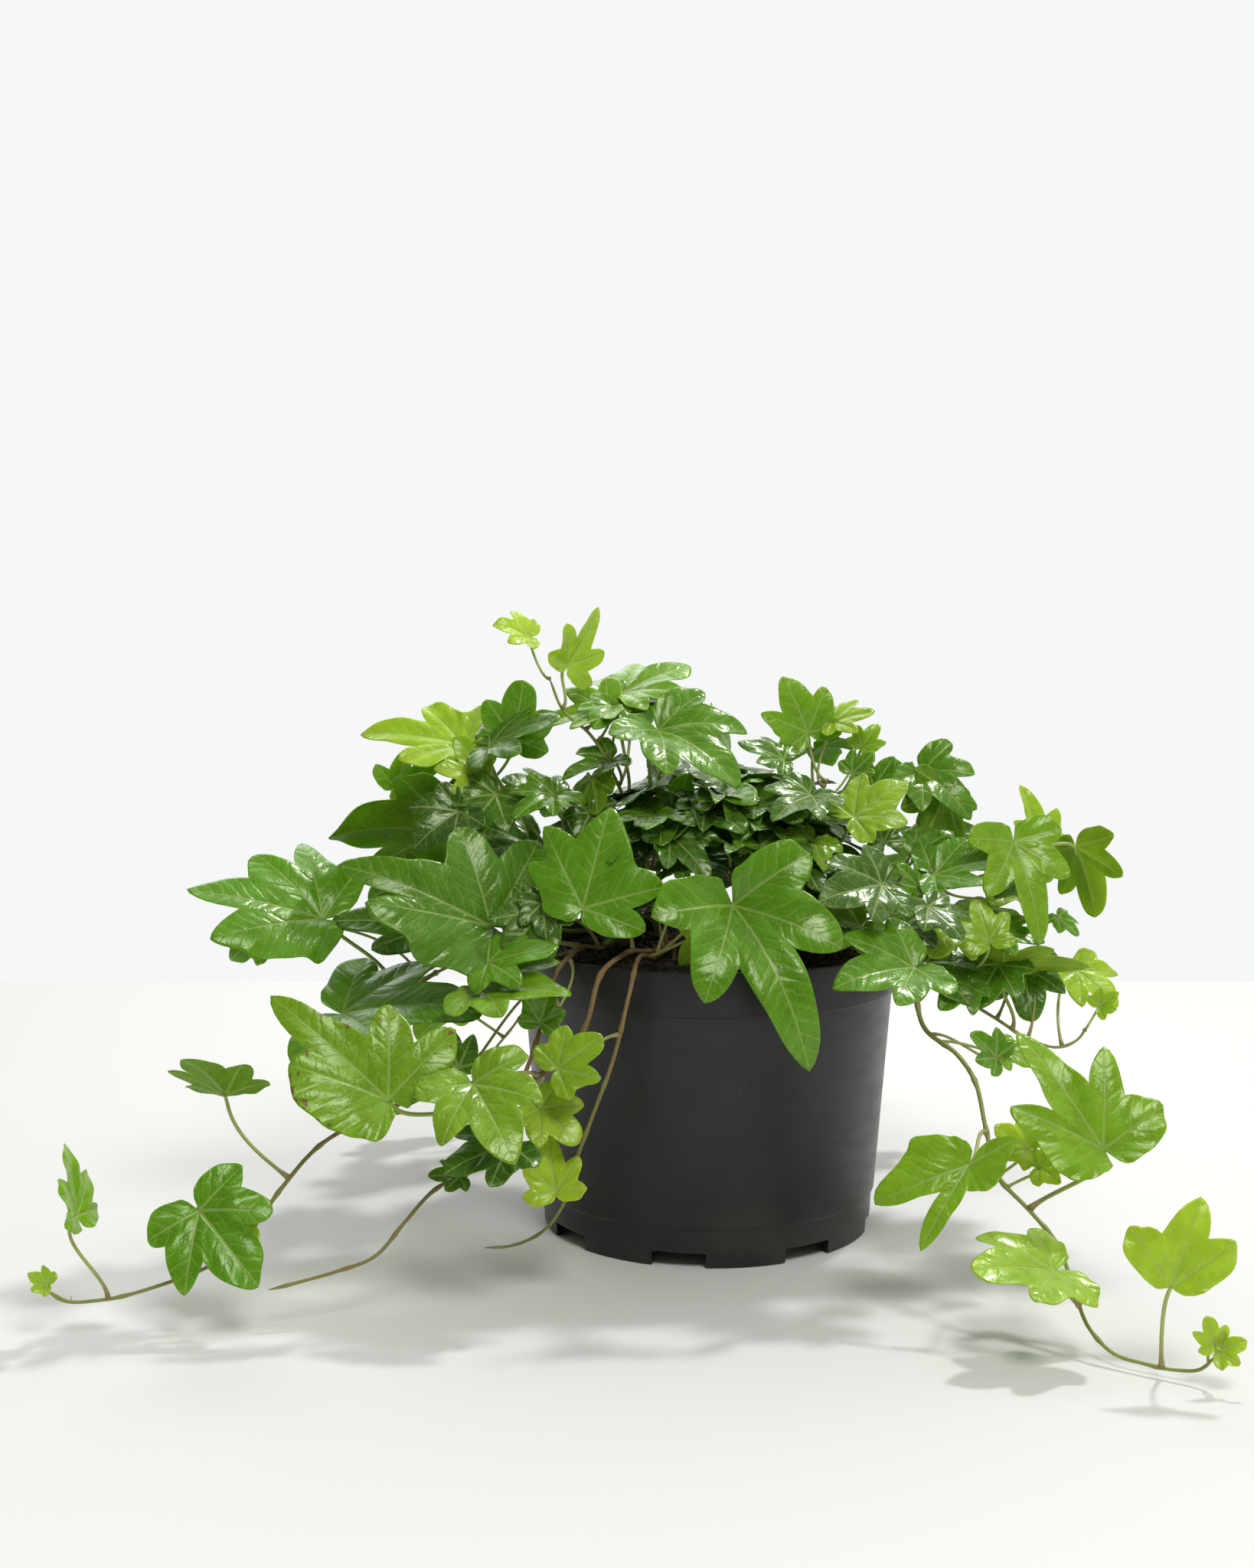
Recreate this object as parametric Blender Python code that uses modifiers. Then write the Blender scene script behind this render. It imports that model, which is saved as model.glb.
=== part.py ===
"""Potted ivy: a black grower pot with soil, rooted stems that rise and trail, and lobed leaves.

Lengths are in millimetres until they are handed to Blender. The pot stands on z = 0 with its axis on Z,
and -Y is the front.
"""

import math

import bmesh
import bpy
from mathutils import Vector

MM = 0.001

# Pot, moulded plastic
POT_HEIGHT = 112.0
RIM_RADIUS = 75.0
RIM_BAND = 17.0
RIM_STEP = 2.0
WALL_TAPER = 6.5
FOOT_TOP = 14.0
FOOT_STEP = 1.5
WALL_TOP_RADIUS = RIM_RADIUS - RIM_STEP
WALL_LOW_RADIUS = WALL_TOP_RADIUS - WALL_TAPER
FOOT_RADIUS = WALL_LOW_RADIUS - FOOT_STEP
WALL = 1.2
FOOT_RING = 3.6
BASE_LIFT = 5.6
BASE_WALL = 1.5
PAD_RADIUS = 20.0
SLOPE_RISE = 2.0
EDGE_BREAK = 0.6
GROOVE_HALF = 0.8
POT_STEPS = 48
NOTCH_COUNT = 8
NOTCH_WIDTH = 20.5
NOTCH_HEIGHT = 5.4
NOTCH_TURN = -11.5
DRAIN_COUNT = 8
DRAIN_RADIUS = 4.5
DRAIN_CIRCLE = 44.0
DRAIN_SIDES = 10
CUT_SPARE = 3.0
SHARP_ANGLE = 35.0

# Everything that touches keeps this much air
GAP = 0.3

# Soil
SOIL_BELOW_RIM = 8.0
SOIL_TOP = POT_HEIGHT - SOIL_BELOW_RIM
SOIL_MOUND = 4.0
SOIL_BUMP = 0.7
SOIL_RINGS = 6
SOIL_STEPS = 48
FACET_AIR = 0.2

# Stems and leaves. Their places are drawn for a pot of this size, and follow it when it changes
DRAWN_RIM_RADIUS = 75.0
DRAWN_POT_HEIGHT = 112.0
STEM_STEP = 9.0
FOOT_RISE = 6.0
STEM_TIP_SHARE = 0.55
LEAF_THICK = 0.8
PETIOLE_HALF = 0.7
PETIOLE_STEPS = 5
PETIOLE_AIR = 0.2
PETIOLE_LEAD = 2.0
PETIOLE_LEAD_SHARE = 0.05
PETIOLE_LEAVE = 0.35
PETIOLE_REACH = 0.3
INNER_RING = 0.55
LEAF_FOLD = 0.16
LEAF_DROOP = 0.25
LEAF_TURN = 2.399

# Name: radius at the root, then the points that it passes, from the soil to its tip
STEMS = {
    "stem_left_long": (1.3, [
        (-12, -6, 0), (-22, -34, 113), (-34, -62, 116), (-41, -74, 112), (-48, -84, 92), (-70, -90, 74),
        (-100, -92, 72), (-122, -96, 65), (-140, -100, 55), (-151, -106, 43), (-160, -112, 31),
        (-170, -120, 22), (-190, -127, 15), (-208, -132, 12), (-219, -135, 13), (-225, -137, 18),
    ]),
    "stem_left_short": (1.25, [
        (-30, -2, 0), (-42, -28, 113), (-51, -50, 116), (-57, -60, 111), (-63, -74, 92), (-68, -82, 78),
        (-76, -86, 62), (-88, -93, 46), (-101, -98, 38), (-109, -104, 30), (-119, -112, 20),
        (-131, -118, 17), (-142, -122, 15), (-153, -125, 13),
    ]),
    "stem_front": (1.2, [
        (-14, -24, 0), (-22, -50, 113), (-28, -69, 116), (-31, -79, 106), (-37, -83, 82), (-44, -80, 62),
        (-50, -78, 45), (-55, -78, 28), (-62, -80, 19), (-74, -82, 14), (-83, -84, 14),
    ]),
    "stem_right_long": (1.3, [
        (30, -8, 0), (52, -18, 114), (68, -36, 117), (75, -43, 104), (78, -56, 88), (88, -70, 81),
        (92, -80, 75), (94, -95, 60), (96, -107, 47), (105, -118, 38), (112, -129, 30), (115, -140, 19),
        (118, -151, 9), (124, -159, 4), (132, -165, 3.2), (140, -170, 3.2), (147, -174, 5), (151, -176, 10),
    ]),
    "stem_right_low": (1.15, [
        (38, 0, 0), (56, -4, 114), (73, -8, 117), (87, -12, 105), (98, -18, 93), (112, -24, 84),
        (124, -28, 77), (134, -30, 75), (141, -30, 78), (145, -30, 84),
    ]),
    "stem_top": (1.2, [
        (-16, 4, 0), (-20, -2, 130), (-28, -10, 155), (-36, -14, 176), (-46, -14, 194), (-57, -13, 204),
        (-62, -12, 216),
    ]),
    "stem_upper_left": (1.2, [
        (-32, 14, 0), (-48, 14, 128), (-64, 10, 147), (-78, 8, 163), (-88, 6, 176),
    ]),
    "stem_left_mid": (1.2, [
        (-38, 6, 0), (-56, 2, 115), (-73, -2, 118), (-94, -10, 107), (-116, -18, 98), (-134, -24, 96),
    ]),
    "stem_right_top": (1.2, [
        (18, 2, 0), (26, 2, 128), (34, 0, 146), (42, 2, 162), (48, 4, 176),
    ]),
    "stem_right_up": (1.2, [
        (42, 14, 0), (60, 18, 118), (80, 16, 126), (96, 10, 131), (110, 4, 134), (122, 2, 138),
    ]),
    "stem_back_left": (1.2, [
        (-20, 26, 0), (-34, 50, 115), (-44, 66, 117), (-58, 86, 98), (-70, 98, 76), (-84, 108, 54),
        (-98, 116, 36),
    ]),
    "stem_back_right": (1.2, [
        (20, 28, 0), (32, 54, 115), (42, 72, 117), (52, 92, 100), (66, 104, 84), (82, 112, 70),
    ]),
}

# Outline forms: degrees from the midrib and the share of the midrib's length that the edge reaches there.
# A form with no degrees below zero is the same on both sides.
FORMS = {
    "five": [
        (0, 1.00), (15, 0.76), (27, 0.60), (42, 0.76), (57, 0.62), (74, 0.50), (92, 0.58), (116, 0.46),
        (152, 0.22),
    ],
    "long": [
        (0, 1.00), (10, 0.70), (23, 0.47), (40, 0.62), (56, 0.50), (74, 0.38), (97, 0.49), (122, 0.38),
        (155, 0.18),
    ],
    "young": [
        (0, 1.00), (17, 0.80), (30, 0.66), (46, 0.82), (62, 0.66), (79, 0.56), (99, 0.60), (126, 0.46),
        (154, 0.24),
    ],
    "wide_spread": [
        (-155, 0.20), (-115, 0.66), (-98, 0.54), (-75, 0.72), (-58, 0.58), (-42, 0.68), (-18, 0.66),
        (0, 1.00), (12, 0.70), (28, 0.88), (40, 0.68), (52, 0.65), (70, 0.46), (95, 0.42), (155, 0.18),
    ],
    "long_lobed": [
        (-155, 0.20), (-120, 0.52), (-97, 0.66), (-78, 0.54), (-50, 0.68), (-28, 0.54), (-12, 0.62),
        (0, 1.00), (8, 0.66), (16, 0.77), (30, 0.58), (50, 0.56), (66, 0.42), (90, 0.40), (150, 0.19),
    ],
    "maple": [
        (-155, 0.18), (-118, 0.44), (-96, 0.60), (-76, 0.54), (-62, 0.82), (-40, 0.70), (-20, 0.74),
        (0, 1.00), (20, 0.74), (38, 0.95), (50, 0.70), (66, 0.70), (80, 0.46), (115, 0.34), (155, 0.17),
    ],
    "notched": [
        (-155, 0.15), (-124, 0.32), (-92, 0.62), (-74, 0.46), (-50, 0.64), (-26, 0.50), (-10, 0.66),
        (0, 1.00), (10, 0.64), (24, 0.70), (40, 0.60), (68, 0.46), (90, 0.34), (120, 0.30), (155, 0.13),
    ],
    "trident": [
        (-155, 0.20), (-112, 0.40), (-84, 0.52), (-58, 0.50), (-36, 0.72), (-22, 0.50), (-10, 0.66),
        (0, 1.00), (10, 0.64), (24, 0.50), (37, 0.68), (54, 0.50), (80, 0.42), (106, 0.36), (155, 0.16),
    ],
    "claw": [
        (-155, 0.20), (-120, 0.32), (-84, 0.62), (-62, 0.64), (-37, 1.05), (-26, 0.56), (-16, 0.46),
        (0, 1.00), (10, 0.56), (26, 0.32), (60, 0.33), (90, 0.36), (120, 0.38), (142, 0.56), (162, 0.35),
    ],
}

# Name: stem, share of the stem at its node, blade base, run from base to tip, where the face looks
# (degrees round from +X, degrees up), form, arch
LEAVES = {
    "leaf_left_1": ("stem_left_mid", 0.90, (-149, -25, 124), (-51, -12, 12), (-100, 48), "wide_spread", 0.2),
    "leaf_left_2": ("stem_left_short", 0.24, (-82, -57, 126), (-55, -10, 26), (-95, 40), "long_lobed", 0.2),
    "leaf_left_3": ("stem_left_mid", 0.60, (-102, -3, 153.6), (-46, -18, 2), (95, 40), "young", 0.35),
    "leaf_left_4": ("stem_left_mid", 0.74, (-138, -50, 92), (54, -20, 6), (-100, 62), "five", 0.2),
    "leaf_left_5": ("stem_upper_left", 0.88, (-97, 6, 189), (-44, 6, 5), (-80, 50), "long", 0.2),
    "leaf_left_6": ("stem_upper_left", 0.98, (-76, -8, 192), (4, 2, 24), (-90, 20), "young", 0.2),
    "leaf_left_7": ("stem_upper_left", 0.55, (-82, -24, 172), (-12, -14, -18), (-90, 40), "five", 0.3),
    "leaf_low_left_1": ("stem_left_short", 0.56, (-114, -108, 74), (-42, 10, 34), (-90, 42), "notched", 0.2),
    "leaf_low_left_2": ("stem_left_long", 0.40, (-85, -106, 79), (16, -24, -22), (-90, 45), "five", 0.3),
    "leaf_low_left_3": ("stem_left_short", 0.34, (-92, -82, 79), (-6, 4, 14), (-90, 30), "young", 0.2),
    "leaf_low_left_4": ("stem_left_short", 0.54, (-72, -108, 58), (-22, -10, -7), (-90, 60), "young", 0.2),
    "leaf_low_left_5": ("stem_front", 0.72, (-57, -96, 38), (-3, 8, 18), (-95, 30), "five", 0.2),
    "leaf_low_left_6": ("stem_front", 0.46, (-56, -96, 82), (16, 0, 12), (-80, 35), "young", 0.2),
    "leaf_low_left_7": ("stem_left_mid", 0.44, (-84, -72, 106), (32, -18, 0), (-90, 62), "five", 0.2),
    "leaf_trail_left_1": ("stem_left_long", 0.70, (-172, -98, 73), (-10, -22, 17), (80, 45), "five", 0.3),
    "leaf_trail_left_2": ("stem_left_long", 0.81, (-176, -124, 40), (22, -12, -22), (-100, 45), "young", 0.2),
    "leaf_trail_left_3": ("stem_left_long", 0.93, (-214, -136, 42), (-6, 4, 24), (-5, 5), "five", 0.2),
    "leaf_top_1": ("stem_top", 0.90, (-55, -12, 221), (12, 8, 23), (-40, 10), "long", 0.2),
    "leaf_top_2": ("stem_top", 0.55, (-33, 2, 210), (28, 14, 10), (-90, 70), "five", 0.2),
    "leaf_top_3": ("stem_top", 0.45, (-20, -18, 196), (30, -22, -22), (-80, 55), "five", 0.5),
    "leaf_top_4": ("stem_top", 0.38, (-60, -28, 172), (-14, -16, -8), (-100, 50), "five", 0.3),
    "leaf_top_5": ("stem_left_short", 0.14, (-48, -66, 134), (10, 12, 36), (-95, 28), "maple", 0.1),
    "leaf_top_6": ("stem_front", 0.10, (-16, -42, 158), (14, -14, -16), (-70, 45), "five", 0.3),
    "leaf_top_7": ("stem_right_top", 0.38, (8, -38, 153), (18, 16, 18), (-100, 40), "five", 0.2),
    "leaf_top_8": ("stem_front", 0.18, (6, -72, 136), (26, -24, -56), (-95, 50), "long", 0.8),
    "leaf_right_1": ("stem_right_top", 0.98, (40, 6, 194), (-10, 2, 22), (-90, 25), "young", 0.2),
    "leaf_right_2": ("stem_right_top", 0.80, (29, -10, 184), (-18, 0, 7), (-100, 60), "five", 0.2),
    "leaf_right_3": ("stem_right_top", 0.60, (38, -30, 172), (-16, -18, -8), (-90, 55), "five", 0.3),
    "leaf_right_4": ("stem_right_up", 0.42, (85, 6, 178), (18, -14, -18), (-100, 45), "five", 0.5),
    "leaf_right_5": ("stem_right_top", 0.46, (54, -33, 164), (21, 6, 13), (-90, 55), "young", 0.2),
    "leaf_right_6": ("stem_right_up", 0.50, (86, -24, 141), (34, -2, 7), (-90, 55), "long", 0.2),
    "leaf_right_7": ("stem_right_long", 0.08, (62, -54, 141), (-26, -16, -4), (-95, 35), "five", 0.2),
    "leaf_right_8": ("stem_right_long", 0.12, (80, -48, 132), (11, -13, -11), (-60, 40), "young", 0.2),
    "leaf_right_9": ("stem_right_long", 0.20, (72, -70, 113), (-32, -16, -5), (-95, 50), "five", 0.3),
    "leaf_far_right_1": ("stem_right_up", 0.86, (136, 14, 148), (-9, 4, 25), (-60, 0), "long", 0.2),
    "leaf_far_right_2": ("stem_right_up", 0.74, (116, -26, 154), (8, -14, -38), (-80, 42), "long", 0.3),
    "leaf_far_right_3": ("stem_right_up", 0.92, (143, -12, 150), (7, -6, -28), (40, 20), "five", 0.2),
    "leaf_far_right_4": ("stem_right_low", 0.55, (104, -42, 118), (-4, 8, 15), (-90, 20), "young", 0.2),
    "leaf_far_right_5": ("stem_right_low", 0.75, (114, -22, 104), (33, -6, 1), (70, 60), "five", 0.2),
    "leaf_trail_right_1": ("stem_right_long", 0.66, (129, -120, 60), (-25, 22, 36), (-90, 35), "trident", 0.2),
    "leaf_trail_right_2": ("stem_right_long", 0.54, (84, -118, 54), (-18, -10, -28), (-100, 45), "claw", 0.3),
    "leaf_trail_right_3": ("stem_right_long", 0.80, (107, -146, 27), (-30, -12, 3), (-90, 68), "young", 0.2),
    "leaf_trail_right_4": ("stem_right_long", 0.93, (137, -174, 31), (11, 6, 28), (-95, 30), "young", 0.2),
    "leaf_back_1": ("stem_back_left", 0.55, (-78, 84, 122), (-30, 30, -22), (110, 45), "five", 0.4),
    "leaf_back_2": ("stem_back_right", 0.55, (70, 90, 124), (26, 30, -24), (70, 45), "five", 0.4),
    "leaf_back_3": ("stem_back_right", 0.20, (8, 62, 152), (4, 34, -22), (90, 50), "long", 0.4),
}

STEM_BARK = (0.30, 0.22, 0.10, 1.0)
LEAF_GREEN = (0.09, 0.22, 0.04, 1.0)
POT_BLACK = (0.018, 0.019, 0.021, 1.0)
SOIL_BROWN = (0.05, 0.032, 0.02, 1.0)


def material(name, colour, roughness):
    made = bpy.data.materials.new(name)
    made.use_nodes = True
    shader = made.node_tree.nodes["Principled BSDF"]
    shader.inputs["Base Color"].default_value = colour
    shader.inputs["Roughness"].default_value = roughness
    made.diffuse_color = colour
    return made


def add(name, mesh_or_curve, mat):
    obj = bpy.data.objects.new(name, mesh_or_curve)
    PLANT.objects.link(obj)
    mesh_or_curve.materials.append(mat)
    return obj


def screw(obj, steps):
    turn = obj.modifiers.new("turn", "SCREW")
    turn.steps = steps
    turn.render_steps = steps
    turn.use_merge_vertices = True
    turn.merge_threshold = 0.00001
    turn.use_smooth_shade = False


def profile_mesh(name, points):
    mesh = bpy.data.meshes.new(name)
    edges = [(i, i + 1) for i in range(len(points) - 1)]
    mesh.from_pydata([(r * MM, 0, z * MM) for r, z in points], edges, [])
    return mesh


def baked(obj):
    """The object's modifiers worked into its mesh."""
    graph = bpy.context.evaluated_depsgraph_get()
    mesh = bpy.data.meshes.new_from_object(obj.evaluated_get(graph))
    obj.modifiers.clear()
    old = obj.data
    obj.data = mesh
    bpy.data.meshes.remove(old)


def cutter(name, outline, low, high, obj):
    """A closed prism that is cut from obj: a plan outline between two heights."""
    mesh = bpy.data.meshes.new(name)
    build = bmesh.new()
    floor = [build.verts.new((x * MM, y * MM, low * MM)) for x, y in outline]
    face = build.faces.new(floor)
    top = bmesh.ops.extrude_face_region(build, geom=[face])["geom"]
    lifted = [v for v in top if isinstance(v, bmesh.types.BMVert)]
    bmesh.ops.translate(build, verts=lifted, vec=(0, 0, (high - low) * MM))
    bmesh.ops.recalc_face_normals(build, faces=build.faces)
    build.to_mesh(mesh)
    build.free()
    tool = bpy.data.objects.new(name, mesh)
    tool.hide_render = True
    tool.display_type = "WIRE"
    CUTTERS.objects.link(tool)
    cut = obj.modifiers.new(name, "BOOLEAN")
    cut.operation = "DIFFERENCE"
    cut.solver = "EXACT"
    cut.object = tool


def wall_radius(z):
    """The pot's outer radius between its foot band and its rim band."""
    share = (z - FOOT_TOP) / (POT_HEIGHT - RIM_BAND - FOOT_TOP)
    return WALL_LOW_RADIUS + (WALL_TOP_RADIUS - WALL_LOW_RADIUS) * share


def build_pot(mat):
    band_low = POT_HEIGHT - RIM_BAND
    floor = BASE_LIFT + BASE_WALL
    wall_foot = FOOT_TOP + SLOPE_RISE
    profile = [
        (0, BASE_WALL), (PAD_RADIUS, BASE_WALL), (PAD_RADIUS + SLOPE_RISE, floor),
        (FOOT_RADIUS - FOOT_RING, floor), (wall_radius(wall_foot) - WALL, wall_foot),
        (WALL_TOP_RADIUS - WALL, band_low), (RIM_RADIUS - WALL, band_low + SLOPE_RISE),
        (RIM_RADIUS - WALL, POT_HEIGHT - EDGE_BREAK), (RIM_RADIUS - EDGE_BREAK, POT_HEIGHT),
        (RIM_RADIUS, POT_HEIGHT - EDGE_BREAK), (RIM_RADIUS, band_low + GROOVE_HALF),
        (WALL_TOP_RADIUS, band_low), (wall_radius(FOOT_TOP + GROOVE_HALF), FOOT_TOP + GROOVE_HALF),
        (WALL_LOW_RADIUS - GROOVE_HALF, FOOT_TOP), (FOOT_RADIUS, EDGE_BREAK), (FOOT_RADIUS - EDGE_BREAK, 0),
        (FOOT_RADIUS - FOOT_RING + EDGE_BREAK, 0), (FOOT_RADIUS - FOOT_RING, BASE_LIFT),
        (PAD_RADIUS + SLOPE_RISE + BASE_WALL, BASE_LIFT), (PAD_RADIUS + BASE_WALL, 0), (0, 0),
    ]
    pot = add("pot", profile_mesh("pot", profile), mat)
    screw(pot, POT_STEPS)
    baked(pot)
    pot.data.shade_smooth()
    pot.data.set_sharp_from_angle(angle=math.radians(SHARP_ANGLE))
    for i in range(NOTCH_COUNT):
        turn = math.radians(-90 + NOTCH_TURN + i * 360 / NOTCH_COUNT)
        out = Vector((math.cos(turn), math.sin(turn)))
        across = Vector((-out.y, out.x)) * NOTCH_WIDTH / 2
        near = out * (FOOT_RADIUS - FOOT_RING - CUT_SPARE)
        far = out * (FOOT_RADIUS + CUT_SPARE)
        outline = [near - across, far - across, far + across, near + across]
        cutter(f"notch_{i}", outline, -CUT_SPARE, NOTCH_HEIGHT, pot)
    for i in range(DRAIN_COUNT):
        turn = 2 * math.pi * (i + 0.5) / DRAIN_COUNT
        centre = Vector((math.cos(turn), math.sin(turn))) * DRAIN_CIRCLE
        ring = [2 * math.pi * k / DRAIN_SIDES for k in range(DRAIN_SIDES)]
        outline = [centre + Vector((math.cos(a), math.sin(a))) * DRAIN_RADIUS for a in ring]
        cutter(f"drain_{i}", outline, BASE_LIFT - CUT_SPARE, BASE_LIFT + BASE_WALL + CUT_SPARE, pot)


def soil_height(x, y):
    """The soil's rough top."""
    rise = SOIL_MOUND * (1 - (x * x + y * y) / RIM_RADIUS ** 2)
    return SOIL_TOP + rise + SOIL_BUMP * math.sin(x * 0.13 + 1.0) * math.cos(y * 0.11)


def build_soil(mat):
    floor = BASE_LIFT + BASE_WALL + GAP
    band_low = POT_HEIGHT - RIM_BAND
    side = WALL + GAP + FACET_AIR
    wall_foot = FOOT_TOP + SLOPE_RISE
    top_radius = RIM_RADIUS - side
    profile = [(top_radius * k / SOIL_RINGS, SOIL_TOP) for k in range(SOIL_RINGS + 1)]
    profile += [
        (top_radius, band_low + SLOPE_RISE + EDGE_BREAK), (WALL_TOP_RADIUS - side, band_low + EDGE_BREAK),
        (wall_radius(wall_foot) - side, wall_foot), (FOOT_RADIUS - FOOT_RING - 2 * GAP, floor),
        (PAD_RADIUS + SLOPE_RISE - GAP, floor), (PAD_RADIUS - GAP, BASE_WALL + GAP), (0, BASE_WALL + GAP),
    ]
    soil = add("soil", profile_mesh("soil", profile), mat)
    screw(soil, SOIL_STEPS)
    baked(soil)
    for vert in soil.data.vertices:
        if vert.co.z > (SOIL_TOP - 0.01) * MM:
            vert.co.z = soil_height(vert.co.x / MM, vert.co.y / MM) * MM


def grown(point):
    """A drawn place on the plant, moved with the pot's rim."""
    x, y, z = point
    wide = RIM_RADIUS / DRAWN_RIM_RADIUS
    if z > DRAWN_POT_HEIGHT:
        return Vector((x * wide, y * wide, z + POT_HEIGHT - DRAWN_POT_HEIGHT))
    return Vector((x * wide, y * wide, z * POT_HEIGHT / DRAWN_POT_HEIGHT))


def spaced(points, step):
    """Points an even step apart on a smooth curve through the given ones."""
    points = [Vector(p) for p in points]
    ends = [points[0] * 2 - points[1]] + points + [points[-1] * 2 - points[-2]]
    fine = []
    for a, b, c, d in zip(ends, ends[1:], ends[2:], ends[3:]):
        before, here, after = (b - a).length, (c - b).length, (d - c).length
        leave = ((b - a) / before * here + (c - b) / here * before) / (before + here) * here
        reach = ((c - b) / here * after + (d - c) / after * here) / (here + after) * here
        for k in range(12):
            t = k / 12
            fine.append(b * (2 * t ** 3 - 3 * t * t + 1) + leave * (t ** 3 - 2 * t * t + t)
                        + c * (3 * t * t - 2 * t ** 3) + reach * (t ** 3 - t * t))
    fine.append(points[-1])
    travelled = [0.0]
    for a, b in zip(fine, fine[1:]):
        travelled.append(travelled[-1] + (b - a).length)
    count = max(2, round(travelled[-1] / step))
    made = []
    at = 0
    for k in range(count + 1):
        goal = travelled[-1] * k / count
        while at < len(fine) - 2 and travelled[at + 1] < goal:
            at += 1
        span = travelled[at + 1] - travelled[at]
        made.append(fine[at].lerp(fine[at + 1], (goal - travelled[at]) / span if span else 0))
    return made


def stem_path(name):
    points = [grown(p) for p in STEMS[name][1]]
    foot = points[0]
    foot.z = soil_height(foot.x, foot.y) + 2 * GAP
    points.insert(1, foot + Vector((0, 0, FOOT_RISE)))
    return spaced(points, STEM_STEP)


def stem_radius(name, share):
    root = STEMS[name][0]
    return root * (1 - (1 - STEM_TIP_SHARE) * share)


def build_stem(name, mat):
    path = stem_path(name)
    curve = bpy.data.curves.new(name, "CURVE")
    curve.dimensions = "3D"
    curve.bevel_depth = MM
    curve.bevel_resolution = 1
    curve.use_fill_caps = True
    spline = curve.splines.new("POLY")
    spline.points.add(len(path) - 1)
    for k, point in enumerate(path):
        spline.points[k].co = (*(point * MM), 1)
        spline.points[k].radius = stem_radius(name, k / (len(path) - 1))
    add(name, curve, mat)


def stem_place(name, share):
    """Where a node sits on a stem, which way the stem runs there and how thick it is."""
    path = stem_path(name)
    at = min(share * (len(path) - 1), len(path) - 1.001)
    low = int(at)
    run = path[low + 1] - path[low]
    return path[low] + run * (at - low), run.normalized(), stem_radius(name, share)


def bezier(a, b, c, d, t):
    return a * (1 - t) ** 3 + b * (3 * t * (1 - t) ** 2) + c * (3 * t * t * (1 - t)) + d * t ** 3


def leaf_bend(number, arch):
    """How far a leaf arches, folds and droops: each one a little differently."""
    turn = number * LEAF_TURN
    fold = LEAF_FOLD * (1 + math.sin(turn * 1.7) / 2)
    droop = LEAF_DROOP * (1 + math.cos(turn) / 2)
    return arch, fold, droop


def blade_point(theta, rho, length, bend):
    arch, fold, droop = bend
    u = rho * math.cos(theta)
    v = rho * math.sin(theta)
    w = arch * (rho - rho * rho) + fold * abs(v) - droop * v * v
    return u * length, v * length, w * length


def build_leaf(number, name, mat):
    stem, share, base, run, face, form, arch = LEAVES[name]
    base = grown(base)
    run = Vector(run)
    length = run.length
    along = run.normalized()
    turn, lift = math.radians(face[0]), math.radians(face[1])
    look = Vector((math.cos(turn) * math.cos(lift), math.sin(turn) * math.cos(lift), math.sin(lift)))
    up = (look - along * look.dot(along)).normalized()
    side = up.cross(along)
    bend = leaf_bend(number, arch)

    def place(u, v, w):
        return (base + along * u + side * v + up * w) * MM

    build = bmesh.new()
    centre = build.verts.new(place(0, 0, 0))
    rim = FORMS[form]
    if rim[0][0] == 0:
        rim = [(-a, r) for a, r in reversed(rim[1:])] + rim
    inner = []
    outer = []
    for angle, radius in rim:
        theta = math.radians(angle)
        inner.append(build.verts.new(place(*blade_point(theta, radius * INNER_RING, length, bend))))
        outer.append(build.verts.new(place(*blade_point(theta, radius, length, bend))))
    for k in range(len(rim) - 1):
        build.faces.new((centre, inner[k], inner[k + 1]))
        build.faces.new((inner[k], outer[k], outer[k + 1], inner[k + 1]))

    node, stem_run, stem_thick = stem_place(stem, share)
    start = base - along * max(PETIOLE_LEAD, PETIOLE_LEAD_SHARE * length)
    away = start - node
    away = (away - stem_run * away.dot(stem_run)).normalized()
    end = node + away * (stem_thick + GAP + PETIOLE_AIR)
    reach = (start - end).length
    leave = (-along - up * 2).normalized()
    low_pull = start + leave * reach * PETIOLE_LEAVE
    high_pull = end + away * reach * PETIOLE_REACH
    across = side * PETIOLE_HALF
    edge = None
    before = start
    for k in range(PETIOLE_STEPS + 1):
        point = bezier(start, low_pull, high_pull, end, k / PETIOLE_STEPS)
        if k:
            step = (point - before).normalized()
            across = (across - step * across.dot(step)).normalized() * PETIOLE_HALF
        pair = [build.verts.new((point - across) * MM), build.verts.new((point + across) * MM)]
        if edge is None:
            build.faces.new((centre, pair[0], inner[0]))
            build.faces.new((pair[0], outer[0], inner[0]))
            build.faces.new((centre, inner[-1], pair[1]))
            build.faces.new((pair[1], inner[-1], outer[-1]))
            build.faces.new((centre, pair[1], pair[0]))
        else:
            build.faces.new((edge[0], edge[1], pair[1], pair[0]))
        edge = pair
        before = point
    bmesh.ops.recalc_face_normals(build, faces=build.faces)
    mesh = bpy.data.meshes.new(name)
    build.to_mesh(mesh)
    build.free()
    mesh.shade_smooth()
    leaf = add(name, mesh, mat)
    thick = leaf.modifiers.new("thickness", "SOLIDIFY")
    thick.thickness = LEAF_THICK * MM
    thick.offset = 0


for old in list(bpy.data.objects):
    bpy.data.objects.remove(old, do_unlink=True)

PLANT = bpy.data.collections.new("potted_ivy")
CUTTERS = bpy.data.collections.new("cutters")
CUTTERS.hide_render = True
bpy.context.scene.collection.children.link(PLANT)
bpy.context.scene.collection.children.link(CUTTERS)

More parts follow.
